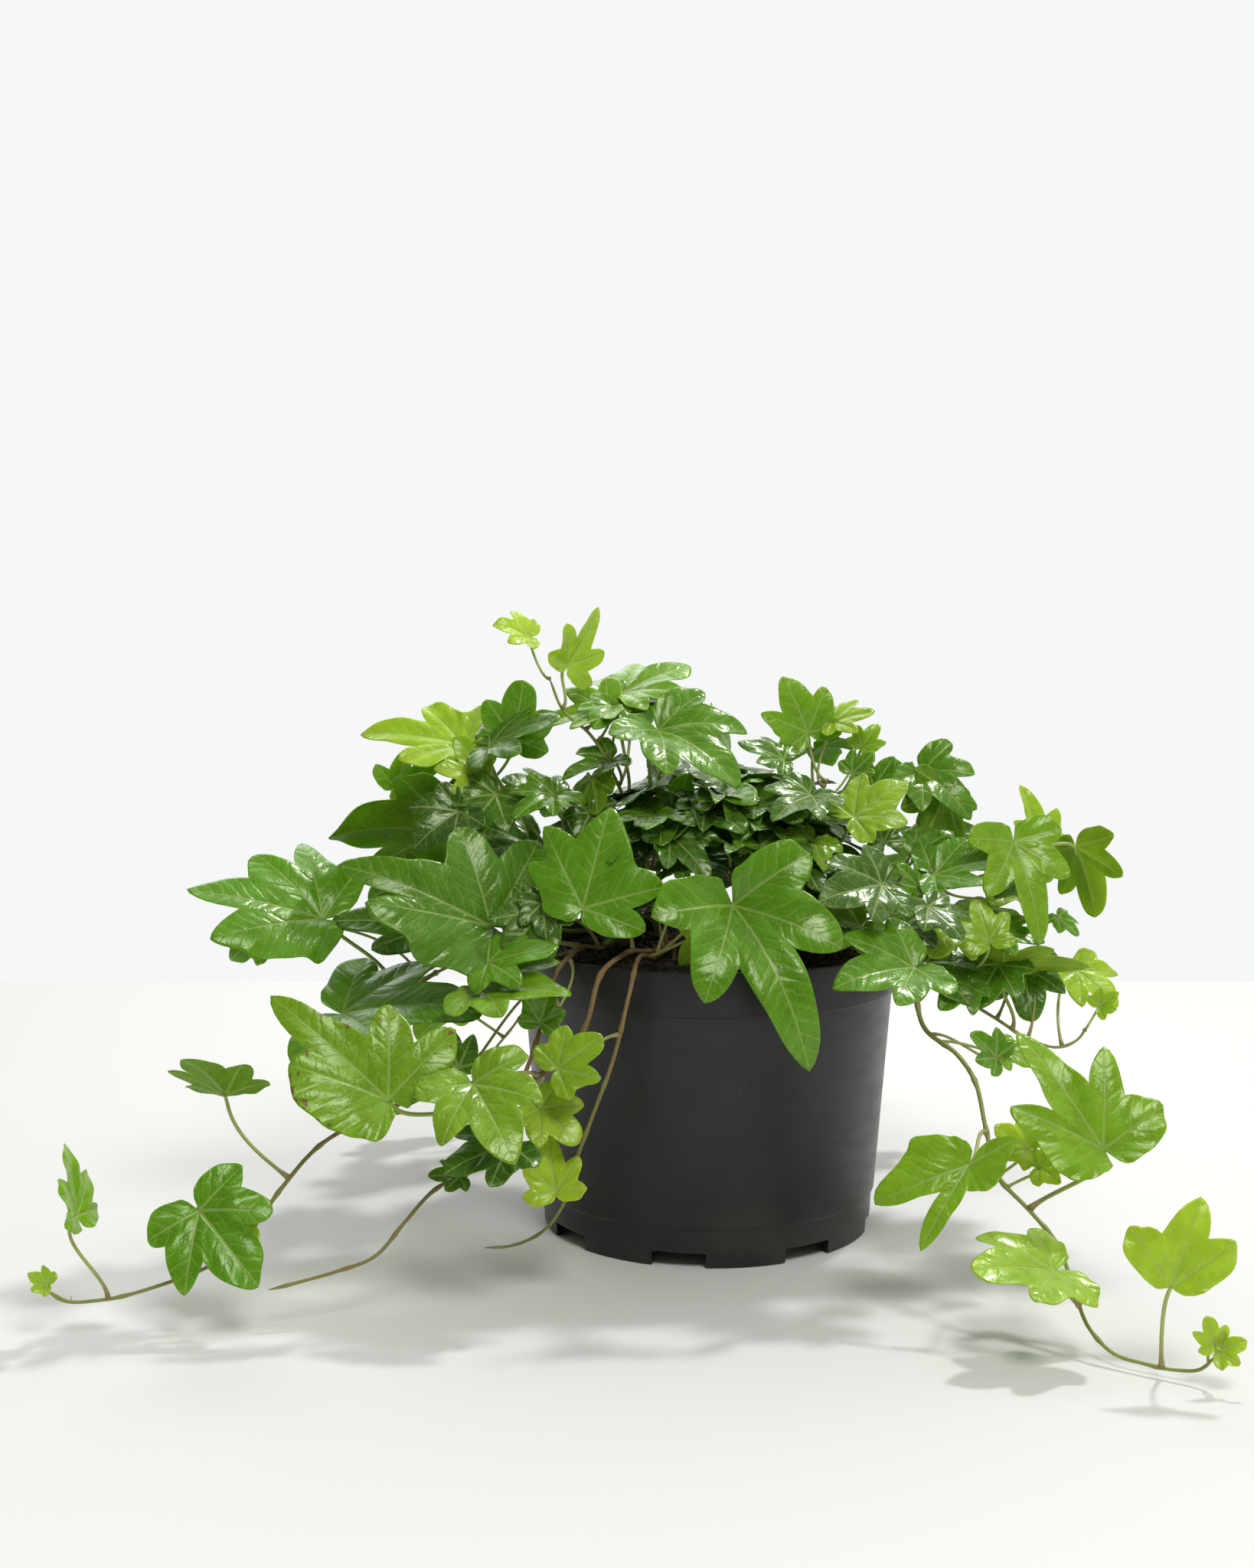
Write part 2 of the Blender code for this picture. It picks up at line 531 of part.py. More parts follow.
build_pot(material("pot", POT_BLACK, 0.55))
build_soil(material("soil", SOIL_BROWN, 0.95))
bark = material("stems", STEM_BARK, 0.6)
for stem_name in STEMS:
    build_stem(stem_name, bark)
green = material("leaves", LEAF_GREEN, 0.35)
for leaf_number, leaf_name in enumerate(LEAVES):
    build_leaf(leaf_number, leaf_name, green)
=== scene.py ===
"""Potted ivy: a black grower pot, its soil, rooted stems that rise and trail, and lobed leaves.

Blender's own lengths are metres. The plant's places are drawn in millimetres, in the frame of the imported
solids.
"""

import math
import random

import bmesh
import bpy
import numpy as np
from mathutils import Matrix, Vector, noise


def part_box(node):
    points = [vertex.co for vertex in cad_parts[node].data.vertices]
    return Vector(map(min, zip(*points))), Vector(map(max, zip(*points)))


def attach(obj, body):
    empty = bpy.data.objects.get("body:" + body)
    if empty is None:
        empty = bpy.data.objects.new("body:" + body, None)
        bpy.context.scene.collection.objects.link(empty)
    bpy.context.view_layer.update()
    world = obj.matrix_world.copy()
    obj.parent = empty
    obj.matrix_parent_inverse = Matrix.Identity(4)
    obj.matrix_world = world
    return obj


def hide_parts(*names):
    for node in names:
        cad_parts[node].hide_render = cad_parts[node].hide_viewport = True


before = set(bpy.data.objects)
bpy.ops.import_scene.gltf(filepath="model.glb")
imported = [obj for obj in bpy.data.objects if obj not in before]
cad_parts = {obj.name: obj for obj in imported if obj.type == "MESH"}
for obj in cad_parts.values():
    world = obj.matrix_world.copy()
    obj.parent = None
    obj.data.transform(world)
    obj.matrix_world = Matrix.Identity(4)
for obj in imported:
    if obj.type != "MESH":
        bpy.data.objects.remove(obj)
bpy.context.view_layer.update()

# The stage: a pale table that ends half a metre behind the plant, with a pale wall beyond it. The camera
# stands a little above the pot's rim and looks slightly down. A small high lamp behind the plant's right side
# shines through the leaves and throws their shadows forwards and left, a window behind adds a broad sheen,
# and a soft lamp over the camera puts the gloss on the front leaves.
CAMERA_PLACE = (-0.032, -0.755, 0.236)
CAMERA_DOWN = 4.7
CAMERA_LENS = 44
TABLE_FAR = 0.51
TABLE_SIDE = 3.0
TABLE_DROP = 0.0003
TABLE_WHITE = (0.86, 0.86, 0.85, 1)
AIM = Vector((0.0, -0.02, 0.12))
# Name: where it hangs, its side, its power and its colour
LAMPS = {
    "key_lamp": ((0.56, 0.60, 1.60), 0.13, 12.0, (0.99, 0.99, 1.0)),
    "window_lamp": ((-0.35, 1.15, 1.15), 1.0, 7.0, (0.97, 0.99, 1.0)),
    "front_lamp": ((0.26, -0.80, 1.10), 0.42, 6.5, (1.0, 1.0, 0.96)),
}
GLOW_IN_FRONT = (0.19, 0.195, 0.17, 1)
GLOW_BEHIND = (0.75, 0.755, 0.725, 1)
WALL_SEEN = (0.915, 0.938, 0.930, 1)

bpy.context.scene.view_settings.view_transform = "Standard"
bpy.context.scene.view_settings.look = "None"

camera_data = bpy.data.cameras.new("camera")
camera_data.lens = CAMERA_LENS
camera = bpy.data.objects.new("camera", camera_data)
camera.location = CAMERA_PLACE
camera.rotation_euler = (math.radians(90 - CAMERA_DOWN), 0, 0)
bpy.context.scene.collection.objects.link(camera)
bpy.context.scene.camera = camera


def node(tree, kind, inputs=None, **settings):
    """A node with its settings, and its inputs given as values or as sockets to link."""
    made = tree.nodes.new(kind)
    for name, value in settings.items():
        setattr(made, name, value)
    for name, value in (inputs or {}).items():
        if isinstance(value, bpy.types.NodeSocket):
            tree.links.new(value, made.inputs[name])
        else:
            made.inputs[name].default_value = value
    return made


def new_material(name, **shader_values):
    """A material, its tree and its Principled BSDF, whose plain values are set by name."""
    made = bpy.data.materials.new(name)
    made.use_nodes = True
    shader = made.node_tree.nodes["Principled BSDF"]
    for value_name, value in shader_values.items():
        shader.inputs[value_name.replace("_", " ")].default_value = value
    return made, made.node_tree, shader


def mixed(tree, factor, first, second):
    """The colour that a Mix node makes of two colours."""
    return node(tree, "ShaderNodeMix", {0: factor, 6: first, 7: second}, data_type="RGBA").outputs[2]


def maths(tree, operation, *values):
    return node(tree, "ShaderNodeMath", dict(enumerate(values)), operation=operation).outputs[0]


def times(tree, first, second):
    return maths(tree, "MULTIPLY", first, second)


def plus(tree, first, second):
    return maths(tree, "ADD", first, second)


def minus(tree, first, second):
    return maths(tree, "SUBTRACT", first, second)


def ranged(tree, value, low, high, to_low=0.0, to_high=1.0, way="SMOOTHSTEP"):
    inputs = {"Value": value, "From Min": low, "From Max": high, "To Min": to_low, "To Max": to_high}
    return node(tree, "ShaderNodeMapRange", inputs, interpolation_type=way).outputs[0]


def linked(name, data):
    """An object of this mesh or lamp, in the scene."""
    obj = bpy.data.objects.new(name, data)
    bpy.context.scene.collection.objects.link(obj)
    return obj


table_mesh = bpy.data.meshes.new("table")
table_mesh.from_pydata([(-TABLE_SIDE, -TABLE_SIDE, -TABLE_DROP), (TABLE_SIDE, -TABLE_SIDE, -TABLE_DROP),
                        (TABLE_SIDE, TABLE_FAR, -TABLE_DROP), (-TABLE_SIDE, TABLE_FAR, -TABLE_DROP)],
                       [], [(0, 1, 2, 3)])
table_mesh.materials.append(new_material("table", Base_Color=TABLE_WHITE, Roughness=0.7)[0])
table = linked("table", table_mesh)

for name, (place, side, power, colour) in LAMPS.items():
    lamp = bpy.data.lights.new(name, "AREA")
    lamp.size = side
    lamp.energy = power
    lamp.color = colour
    box = linked(name, lamp)
    box.location = place
    box.rotation_euler = (AIM - Vector(place)).to_track_quat("-Z", "Y").to_euler()

room = bpy.data.worlds.new("room")
bpy.context.scene.world = room
room.use_nodes = True
sky = room.node_tree
way = node(sky, "ShaderNodeTexCoord").outputs["Generated"]
towards = node(sky, "ShaderNodeSeparateXYZ", {0: way}).outputs
back_right = plus(sky, times(sky, towards[0], 0.5), times(sky, towards[1], 0.75))
glow = mixed(sky, ranged(sky, back_right, -0.6, 0.9), GLOW_IN_FRONT, GLOW_BEHIND)
seen = node(sky, "ShaderNodeLightPath").outputs["Is Camera Ray"]
sky.links.new(mixed(sky, seen, glow, WALL_SEEN), sky.nodes["Background"].inputs["Color"])


# The pot: a thin black polypropylene grower pot, injection moulded in one piece. A smooth band stiffens its
# rim, a groove parts the wall from the foot, and gaps under the foot ring let the water out.
pot_low, pot_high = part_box("pot")
POT_HEIGHT = pot_high.z
RIM_RADIUS = pot_high.x
RIM_BAND = 0.017
RIM_STEP = 0.002
WALL_TAPER = 0.0065
FOOT_TOP = 0.014
FOOT_STEP = 0.0015
WALL_TOP_RADIUS = RIM_RADIUS - RIM_STEP
WALL_LOW_RADIUS = WALL_TOP_RADIUS - WALL_TAPER
FOOT_RADIUS = WALL_LOW_RADIUS - FOOT_STEP
WALL = 0.0012
FOOT_RING = 0.0036
BASE_LIFT = 0.0056
BASE_WALL = 0.0015
PAD_RADIUS = 0.020
PAD_EDGE = 0.0015
SLOPE_RISE = 0.002
GROOVE_RISE = 0.0012
GROOVE_DEPTH = 0.0009
ROUND = 0.0006
NOTCH_COUNT = 8
NOTCH_WIDTH = 0.0205
NOTCH_HEIGHT = 0.0054
NOTCH_TURN = -11.5
NOTCH_THROUGH = 0.011
NOTCH_CORNER = 0.0008
DRAIN_COUNT = 8
DRAIN_RADIUS = 0.0045
DRAIN_CIRCLE = 0.044
DRAIN_THROUGH = 0.006
NEARLY_ROUND = 0.98
CORNER_STEPS = 6
POT_STEPS = 192
FILLET_STEPS = 4
SHARP_ANGLE = 38


def piece(name, mesh, materials, slot, *replaced):
    """A finished piece of the object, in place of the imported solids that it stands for."""
    mesh.name = name
    if not mesh.materials:
        for paint in materials:
            mesh.materials.append(paint)
    obj = linked(name, mesh)
    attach(obj, "root")
    if replaced:
        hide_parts(*replaced)
    return obj


def worked(obj):
    """The mesh that an object's modifiers make, without the object."""
    graph = bpy.context.evaluated_depsgraph_get()
    mesh = bpy.data.meshes.new_from_object(obj.evaluated_get(graph), preserve_all_data_layers=True,
                                           depsgraph=graph)
    bpy.data.objects.remove(obj)
    return mesh


def filleted(corners):
    """A turned profile whose corners, given as (radius, height, fillet), are rounded by arcs."""
    made = []
    for i, (r, z, size) in enumerate(corners):
        here = Vector((r, z))
        if not size:
            made.append(here)
            continue
        back = (Vector(corners[i - 1][:2]) - here).normalized() * size
        on = (Vector(corners[i + 1][:2]) - here).normalized() * size
        for k in range(FILLET_STEPS + 1):
            t = k / FILLET_STEPS
            made.append(here + back * (1 - t) ** 2 + on * t ** 2)
    return made


def turned(name, profile, steps):
    """A profile in the XZ plane, turned round the pot's axis."""
    mesh = bpy.data.meshes.new(name)
    mesh.from_pydata([(r, 0, z) for r, z in profile], [(i, i + 1) for i in range(len(profile) - 1)], [])
    obj = linked(name, mesh)
    turn = obj.modifiers.new("turn", "SCREW")
    turn.steps = steps
    turn.render_steps = steps
    turn.use_merge_vertices = True
    turn.merge_threshold = 0.00001
    return obj


def cut(obj, name, centre, size, turn, corner):
    """Cuts a block with rounded corners, or a round hole where the corner is half the width, out of obj."""
    build = bmesh.new()
    made = bmesh.ops.create_cube(build, size=1)["verts"]
    bmesh.ops.scale(build, vec=size, verts=made)
    along = 0 if turn else 2
    runs = [(e, (e.verts[0].co - e.verts[1].co).normalized()) for e in build.edges]
    edges = [e for e, run in runs if abs(run[along]) > 0.9]
    if turn:
        edges = [e for e in edges if e.verts[0].co.z > 0]
    bmesh.ops.bevel(build, geom=edges, offset=corner, segments=CORNER_STEPS, affect="EDGES", profile=0.5)
    mesh = bpy.data.meshes.new(name)
    build.to_mesh(mesh)
    build.free()
    tool = linked(name, mesh)
    tool.hide_render = True
    tool.rotation_euler = (0, 0, turn)
    tool.location = centre
    boolean = obj.modifiers.new(name, "BOOLEAN")
    boolean.object = tool
    boolean.solver = "EXACT"
    return tool


def wall_radius(z):
    """The pot's outer radius between its foot and its rim band."""
    share = (z - FOOT_TOP) / (POT_HEIGHT - RIM_BAND - FOOT_TOP)
    return WALL_LOW_RADIUS + (WALL_TOP_RADIUS - WALL_LOW_RADIUS) * share


band_low = POT_HEIGHT - RIM_BAND
base_top = BASE_LIFT + BASE_WALL
pot_profile = filleted([
    (0, BASE_WALL, 0), (PAD_RADIUS, BASE_WALL, ROUND), (PAD_RADIUS + SLOPE_RISE, base_top, ROUND),
    (FOOT_RADIUS - FOOT_RING, base_top, 0.001),
    (wall_radius(FOOT_TOP + SLOPE_RISE) - WALL, FOOT_TOP + SLOPE_RISE, 0.001),
    (WALL_TOP_RADIUS - WALL, band_low, 0.0005), (RIM_RADIUS - WALL, band_low + SLOPE_RISE, 0.0005),
    (RIM_RADIUS - WALL, POT_HEIGHT, 0.0004), (RIM_RADIUS, POT_HEIGHT, ROUND),
    (RIM_RADIUS, band_low + 0.0004, 0.0005), (WALL_TOP_RADIUS, band_low, 0.0003),
    (wall_radius(FOOT_TOP + GROOVE_RISE), FOOT_TOP + GROOVE_RISE, 0.0005),
    (WALL_LOW_RADIUS - GROOVE_DEPTH, FOOT_TOP, 0.0003), (FOOT_RADIUS, 0, 0.0008),
    (FOOT_RADIUS - FOOT_RING, 0, ROUND), (FOOT_RADIUS - FOOT_RING, BASE_LIFT, ROUND),
    (PAD_RADIUS + PAD_EDGE + SLOPE_RISE, BASE_LIFT, ROUND), (PAD_RADIUS + PAD_EDGE, 0, ROUND), (0, 0, 0),
])
pot_shape = turned("pot_shape", pot_profile, POT_STEPS)
tools = []
for i in range(NOTCH_COUNT):
    turn = math.radians(-90 + NOTCH_TURN + i * 360 / NOTCH_COUNT)
    reach = FOOT_RADIUS - FOOT_RING / 2
    tools.append(cut(pot_shape, f"notch_{i}", (reach * math.cos(turn), reach * math.sin(turn), 0),
                     (NOTCH_THROUGH, NOTCH_WIDTH, NOTCH_HEIGHT * 2), turn, NOTCH_CORNER))
for i in range(DRAIN_COUNT):
    turn = 2 * math.pi * (i + 0.5) / DRAIN_COUNT
    tools.append(cut(pot_shape, f"drain_{i}",
                     (DRAIN_CIRCLE * math.cos(turn), DRAIN_CIRCLE * math.sin(turn), BASE_LIFT),
                     (DRAIN_RADIUS * 2, DRAIN_RADIUS * 2, DRAIN_THROUGH), 0, DRAIN_RADIUS * NEARLY_ROUND))
pot_mesh = worked(pot_shape)
for tool in tools:
    bpy.data.objects.remove(tool)
pot_mesh.shade_smooth()
pot_mesh.set_sharp_from_angle(angle=math.radians(SHARP_ANGLE))


def socket(tree, name, way, kind, value=None):
    """A named input or output of a node group."""
    made = tree.interface.new_socket(name=name, in_out=way, socket_type="NodeSocket" + kind)
    if value is not None:
        made.default_value = value
    return made


def rippled(tree, place, scale, detail, **more):
    """A soft random pattern around a half. Its scale is per metre, or per millimetre on a leaf."""
    values = {"Vector": place, "Scale": scale, "Detail": detail, **more}
    return node(tree, "ShaderNodeTexNoise", values).outputs[0]


def bumped(tree, shader, height, strength, distance):
    """Gives a shader small relief that its mesh doesn't hold."""
    bump = node(tree, "ShaderNodeBump", {"Height": height, "Strength": strength, "Distance": distance})
    tree.links.new(bump.outputs[0], shader.inputs["Normal"])


def object_place(tree):
    return node(tree, "ShaderNodeTexCoord").outputs["Object"]


# Grit and dust that cling to anything near the soil: fine specks, thicker where a slow noise gathers them
grit = bpy.data.node_groups.new("grit", "ShaderNodeTree")
socket(grit, "Place", "INPUT", "Vector")
socket(grit, "Speck Size", "INPUT", "Float", 900.0)
socket(grit, "Amount", "INPUT", "Float", 0.5)
socket(grit, "Specks", "OUTPUT", "Float")
socket(grit, "Cloud", "OUTPUT", "Float")
grit_in = node(grit, "NodeGroupInput").outputs
grit_fine = rippled(grit, grit_in["Place"], grit_in["Speck Size"], 2)
grit_cloud = ranged(grit, rippled(grit, grit_in["Place"], 45.0, 5), 0.38, 0.72)
grit_edge = minus(grit, 0.84, times(grit, grit_cloud, times(grit, grit_in["Amount"], 0.3)))
grit_specks = ranged(grit, grit_fine, grit_edge, plus(grit, grit_edge, 0.06))
node(grit, "NodeGroupOutput", {"Specks": grit_specks, "Cloud": grit_cloud})

plastic, tree, shader = new_material("black_plastic", Roughness=0.4, Coat_Roughness=0.3)
place = object_place(tree)
height = node(tree, "ShaderNodeSeparateXYZ", {0: place}).outputs[2]
dust = node(tree, "ShaderNodeGroup", {"Place": place, "Speck Size": 1500.0, "Amount": 0.55},
            node_tree=grit).outputs
low = ranged(tree, height, 0.045, 0.0, 0.0, 1.0)
film = times(tree, dust["Cloud"], plus(tree, times(tree, low, 0.08), 0.02))
drawn_out = node(tree, "ShaderNodeMapping", {"Vector": place, "Scale": (1, 1, 3)}).outputs[0]
scratches = rippled(tree, drawn_out, 60.0, 6, Roughness=0.7)
colour = mixed(tree, film, (0.0078, 0.0081, 0.0084, 1), (0.16, 0.145, 0.12, 1))
colour = mixed(tree, times(tree, dust["Specks"], 0.7), colour, (0.24, 0.19, 0.12, 1))
tree.links.new(colour, shader.inputs["Base Color"])
rough = plus(tree, ranged(tree, scratches, 0.35, 0.7, 0.36, 0.46), times(tree, dust["Specks"], 0.3))
tree.links.new(rough, shader.inputs["Roughness"])
orange_peel = rippled(tree, place, 420.0, 3)
bumped(tree, shader, plus(tree, orange_peel, times(tree, dust["Specks"], 0.9)), 0.35, 0.00012)
pot_mesh.materials.clear()
piece("grower_pot", pot_mesh, [plastic], "pot", "pot")


# The soil: dark peat compost, slightly mounded, filled to a finger's breadth under the rim. Crumbs and bark
# fibres lie loose on top of it.
SOIL_BELOW_RIM = 0.008
SOIL_TOP = POT_HEIGHT - SOIL_BELOW_RIM
SOIL_MOUND = 0.004
SOIL_STEPS = 200
SOIL_RING = 0.0011
SOIL_WAVE = 0.0007
SOIL_WAVES_PER_M = (130, 110)
SOIL_LUMPS_PER_M = 170
SOIL_ROUGH = 0.00096
SOIL_AIR = 0.0001
SOIL_STEP_AIR = 0.0005
soil_edge = RIM_RADIUS - WALL - SOIL_AIR / 2


def soil_height(x, y):
    """The level of the soil's top, without its crumbs."""
    rise = SOIL_MOUND * (1 - (x * x + y * y) / RIM_RADIUS ** 2)
    wave = math.sin(x * SOIL_WAVES_PER_M[0] + 1.0) * math.cos(y * SOIL_WAVES_PER_M[1])
    return SOIL_TOP + rise + SOIL_WAVE * wave


ring_count = round(soil_edge / SOIL_RING)
soil_profile = [(soil_edge * k / ring_count, SOIL_TOP) for k in range(ring_count + 1)]
soil_profile += [(soil_edge, band_low + SLOPE_RISE + SOIL_STEP_AIR),
                 (WALL_TOP_RADIUS - WALL - SOIL_AIR, band_low + SOIL_STEP_AIR),
                 (wall_radius(FOOT_TOP + SLOPE_RISE) - WALL - SOIL_AIR, FOOT_TOP + SLOPE_RISE),
                 (FOOT_RADIUS - FOOT_RING - 2 * SOIL_STEP_AIR, base_top + SOIL_AIR),
                 (PAD_RADIUS + SLOPE_RISE - 2 * SOIL_AIR, base_top + SOIL_AIR),
                 (PAD_RADIUS - SOIL_STEP_AIR, BASE_WALL + SOIL_AIR), (0, BASE_WALL + SOIL_AIR)]
soil_mesh = worked(turned("soil_shape", soil_profile, SOIL_STEPS))
for vert in soil_mesh.vertices:
    if vert.co.z > SOIL_TOP - 0.00001:
        x, y = vert.co.x, vert.co.y
        lumps = noise.fractal(Vector((x, y, 0)) * SOIL_LUMPS_PER_M, 1.0, 2.2, 4)
        vert.co.z = soil_height(x, y) + SOIL_ROUGH * lumps
soil_mesh.shade_smooth()

peat, tree, shader = new_material("peat", Roughness=0.95)
place = object_place(tree)
grains = rippled(tree, place, 700.0, 5, Roughness=0.65)
patches = ranged(tree, rippled(tree, place, 110.0, 3), 0.45, 0.7)
flecks = node(tree, "ShaderNodeGroup", {"Place": place, "Speck Size": 850.0, "Amount": 0.7}, node_tree=grit)
colour = mixed(tree, grains, (0.006, 0.004, 0.0026, 1), (0.040, 0.025, 0.014, 1))
colour = mixed(tree, patches, colour, (0.055, 0.036, 0.020, 1))
colour = mixed(tree, times(tree, flecks.outputs["Specks"], 0.55), colour, (0.17, 0.115, 0.065, 1))
tree.links.new(colour, shader.inputs["Base Color"])
bumped(tree, shader, grains, 0.8, 0.0009)
soil_mesh.materials.clear()


def geometry_tree(name, **inputs):
    """A Geometry Nodes tree with a mesh coming in, a mesh going out, and named inputs with their kinds."""
    made = bpy.data.node_groups.new(name, "GeometryNodeTree")
    socket(made, "Geometry", "INPUT", "Geometry")
    for input_name, kind in inputs.items():
        socket(made, input_name.replace("_", " "), "INPUT", kind)
    socket(made, "Geometry", "OUTPUT", "Geometry")
    return made, node(made, "NodeGroupInput").outputs


def finish_tree(tree, inlet, grown):
    """Ends a Geometry Nodes tree: what it grew is made real, smooth and painted."""
    solid = node(tree, "GeometryNodeRealizeInstances", {0: grown.outputs[0]})
    smooth = node(tree, "GeometryNodeSetShadeSmooth", {0: solid.outputs[0]})
    painted = node(tree, "GeometryNodeSetMaterial", {0: smooth.outputs[0], "Material": inlet["Material"]})
    node(tree, "NodeGroupOutput", {0: painted.outputs[0]})


def grown_by(tree, mesh, **values):
    """The mesh that a Geometry Nodes tree makes of this one."""
    holder = linked("holder", mesh)
    work = holder.modifiers.new("grow", "NODES")
    work.node_group = tree
    for item in tree.interface.items_tree:
        name = item.name.replace(" ", "_")
        if item.in_out == "INPUT" and name in values:
            work[item.identifier] = values[name]
    return worked(holder)


# Loose bits strewn over the faces that look up: each is a small lump, stretched, turned and sized at random
strewn, inlet = geometry_tree("strewn_bits", Density="Float", Seed="Int", Smallest="Vector", Largest="Vector",
                              Lump="Float", Material="Material")
facing = node(strewn, "ShaderNodeSeparateXYZ", {0: node(strewn, "GeometryNodeInputNormal").outputs[0]})
upward = node(strewn, "FunctionNodeCompare", {0: facing.outputs[2], 1: 0.55}, data_type="FLOAT",
              operation="GREATER_THAN")
points = node(strewn, "GeometryNodeDistributePointsOnFaces", {
    "Mesh": inlet["Geometry"], "Selection": upward.outputs[0], "Density": inlet["Density"],
    "Seed": inlet["Seed"]})
lump = node(strewn, "GeometryNodeMeshIcoSphere", {"Radius": 1.0, "Subdivisions": 2})
dents = node(strewn, "ShaderNodeTexNoise", {"Scale": 1.4, "Detail": 1})
dent = node(strewn, "ShaderNodeVectorMath", {0: dents.outputs[1], 1: (0.5, 0.5, 0.5)}, operation="SUBTRACT")
push = node(strewn, "ShaderNodeVectorMath", {0: dent.outputs[0], "Scale": inlet["Lump"]}, operation="SCALE")
shaped = node(strewn, "GeometryNodeSetPosition", {"Geometry": lump.outputs[0], "Offset": push.outputs[0]})
turns = node(strewn, "FunctionNodeRandomValue", {1: (6.28, 6.28, 6.28), "Seed": 3}, data_type="FLOAT_VECTOR")
sizes = node(strewn, "FunctionNodeRandomValue", {0: inlet["Smallest"], 1: inlet["Largest"], "Seed": 8},
             data_type="FLOAT_VECTOR")
laid = node(strewn, "GeometryNodeInstanceOnPoints", {
    "Points": points.outputs[0], "Instance": shaped.outputs[0], "Rotation": turns.outputs[0],
    "Scale": sizes.outputs[0]})
finish_tree(strewn, inlet, laid)

bark_chips, tree, shader = new_material("bark_chips", Roughness=0.9)
grain = rippled(tree, object_place(tree), 260.0, 4)
colour = mixed(tree, ranged(tree, grain, 0.35, 0.65), (0.035, 0.020, 0.011, 1), (0.16, 0.10, 0.055, 1))
tree.links.new(colour, shader.inputs["Base Color"])
bumped(tree, shader, grain, 0.6, 0.0003)

crumbs = grown_by(strewn, soil_mesh.copy(), Density=90000.0, Seed=4, Smallest=(0.0004, 0.0004, 0.0003),
                  Largest=(0.0016, 0.0014, 0.0011), Lump=0.9, Material=peat)
chips = grown_by(strewn, soil_mesh.copy(), Density=9000.0, Seed=11, Smallest=(0.0003, 0.0009, 0.0003),
                 Largest=(0.0006, 0.0045, 0.0011), Lump=0.6, Material=bark_chips)
piece("soil_fill", soil_mesh, [peat], "soil", "soil")
piece("soil_crumbs", crumbs, [peat], "soil")
piece("soil_bark_chips", chips, [bark_chips], "soil")


# The stems: a dozen rooted cuttings. Each is a thin woody runner that swells a little at every leaf joint,
# brown and rough near the soil and green at its tip, with short clinging rootlets along its older length.
# Name: radius at the root, then the points that it passes, from the soil to its tip
STEMS = {
    "stem_left_long": (1.3, [
        (-12, -6, 0), (-22, -34, 113), (-34, -62, 116), (-41, -74, 112), (-48, -84, 92), (-70, -90, 74),
        (-100, -92, 72), (-122, -96, 65), (-140, -100, 55), (-151, -106, 43), (-160, -112, 31),
        (-170, -120, 22), (-190, -127, 15), (-208, -132, 12), (-219, -135, 13), (-225, -137, 18),
    ]),
    "stem_left_short": (1.25, [
        (-30, -2, 0), (-42, -28, 113), (-51, -50, 116), (-57, -60, 111), (-63, -74, 92), (-68, -82, 78),
        (-76, -86, 62), (-88, -93, 46), (-101, -98, 38), (-109, -104, 30), (-119, -112, 20),
        (-131, -118, 17), (-142, -122, 15), (-153, -125, 13),
    ]),
    "stem_front": (1.2, [
        (-14, -24, 0), (-22, -50, 113), (-28, -69, 116), (-31, -79, 106), (-37, -83, 82), (-44, -80, 62),
        (-50, -78, 45), (-55, -78, 28), (-62, -80, 19), (-74, -82, 14), (-83, -84, 14),
    ]),
    "stem_right_long": (1.3, [
        (30, -8, 0), (52, -18, 114), (68, -36, 117), (75, -43, 104), (78, -56, 88), (88, -70, 81),
        (92, -80, 75), (94, -95, 60), (96, -107, 47), (105, -118, 38), (112, -129, 30), (115, -140, 19),
        (118, -151, 9), (124, -159, 4), (132, -165, 3.2), (140, -170, 3.2), (147, -174, 5), (151, -176, 10),
    ]),
    "stem_right_low": (1.15, [
        (38, 0, 0), (56, -4, 114), (73, -8, 117), (87, -12, 105), (98, -18, 93), (112, -24, 84),
        (124, -28, 77), (134, -30, 75), (141, -30, 78), (145, -30, 84),
    ]),
    "stem_top": (1.2, [
        (-16, 4, 0), (-20, -2, 130), (-28, -10, 155), (-36, -14, 176), (-46, -14, 194), (-57, -13, 204),
        (-62, -12, 216),
    ]),
    "stem_upper_left": (1.2, [
        (-32, 14, 0), (-48, 14, 128), (-64, 10, 147), (-78, 8, 163), (-88, 6, 176),
    ]),
    "stem_left_mid": (1.2, [
        (-38, 6, 0), (-56, 2, 115), (-73, -2, 118), (-94, -10, 107), (-116, -18, 98), (-134, -24, 96),
    ]),
    "stem_right_top": (1.2, [
        (18, 2, 0), (26, 2, 128), (34, 0, 146), (42, 2, 162), (48, 4, 176),
    ]),
    "stem_right_up": (1.2, [
        (42, 14, 0), (60, 18, 118), (80, 16, 126), (96, 10, 131), (110, 4, 134), (122, 2, 138),
    ]),
    "stem_back_left": (1.2, [
        (-20, 26, 0), (-34, 50, 115), (-44, 66, 117), (-58, 86, 98), (-70, 98, 76), (-84, 108, 54),
        (-98, 116, 36),
    ]),
    "stem_back_right": (1.2, [
        (20, 28, 0), (32, 54, 115), (42, 72, 117), (52, 92, 100), (66, 104, 84), (82, 112, 70),
    ]),
}
MM = 0.001
STEM_STEP = 1.5
FOOT_RISE = 6.0
STEM_ROOTED = 2.0
STEM_TIP_SHARE = 0.55
STEM_LOOK = 0.8
STEM_END = 0.35
STEM_END_GROWTH = 0.25
JOINT_SPACING = 21.0
JOINT_SWELL = 0.35
JOINT_HALF = 1.8
CURVE_STEPS = 12
ROOT_CHANCE = 0.5
ROOT_SPREAD = 0.35
ROOT_START = 0.03


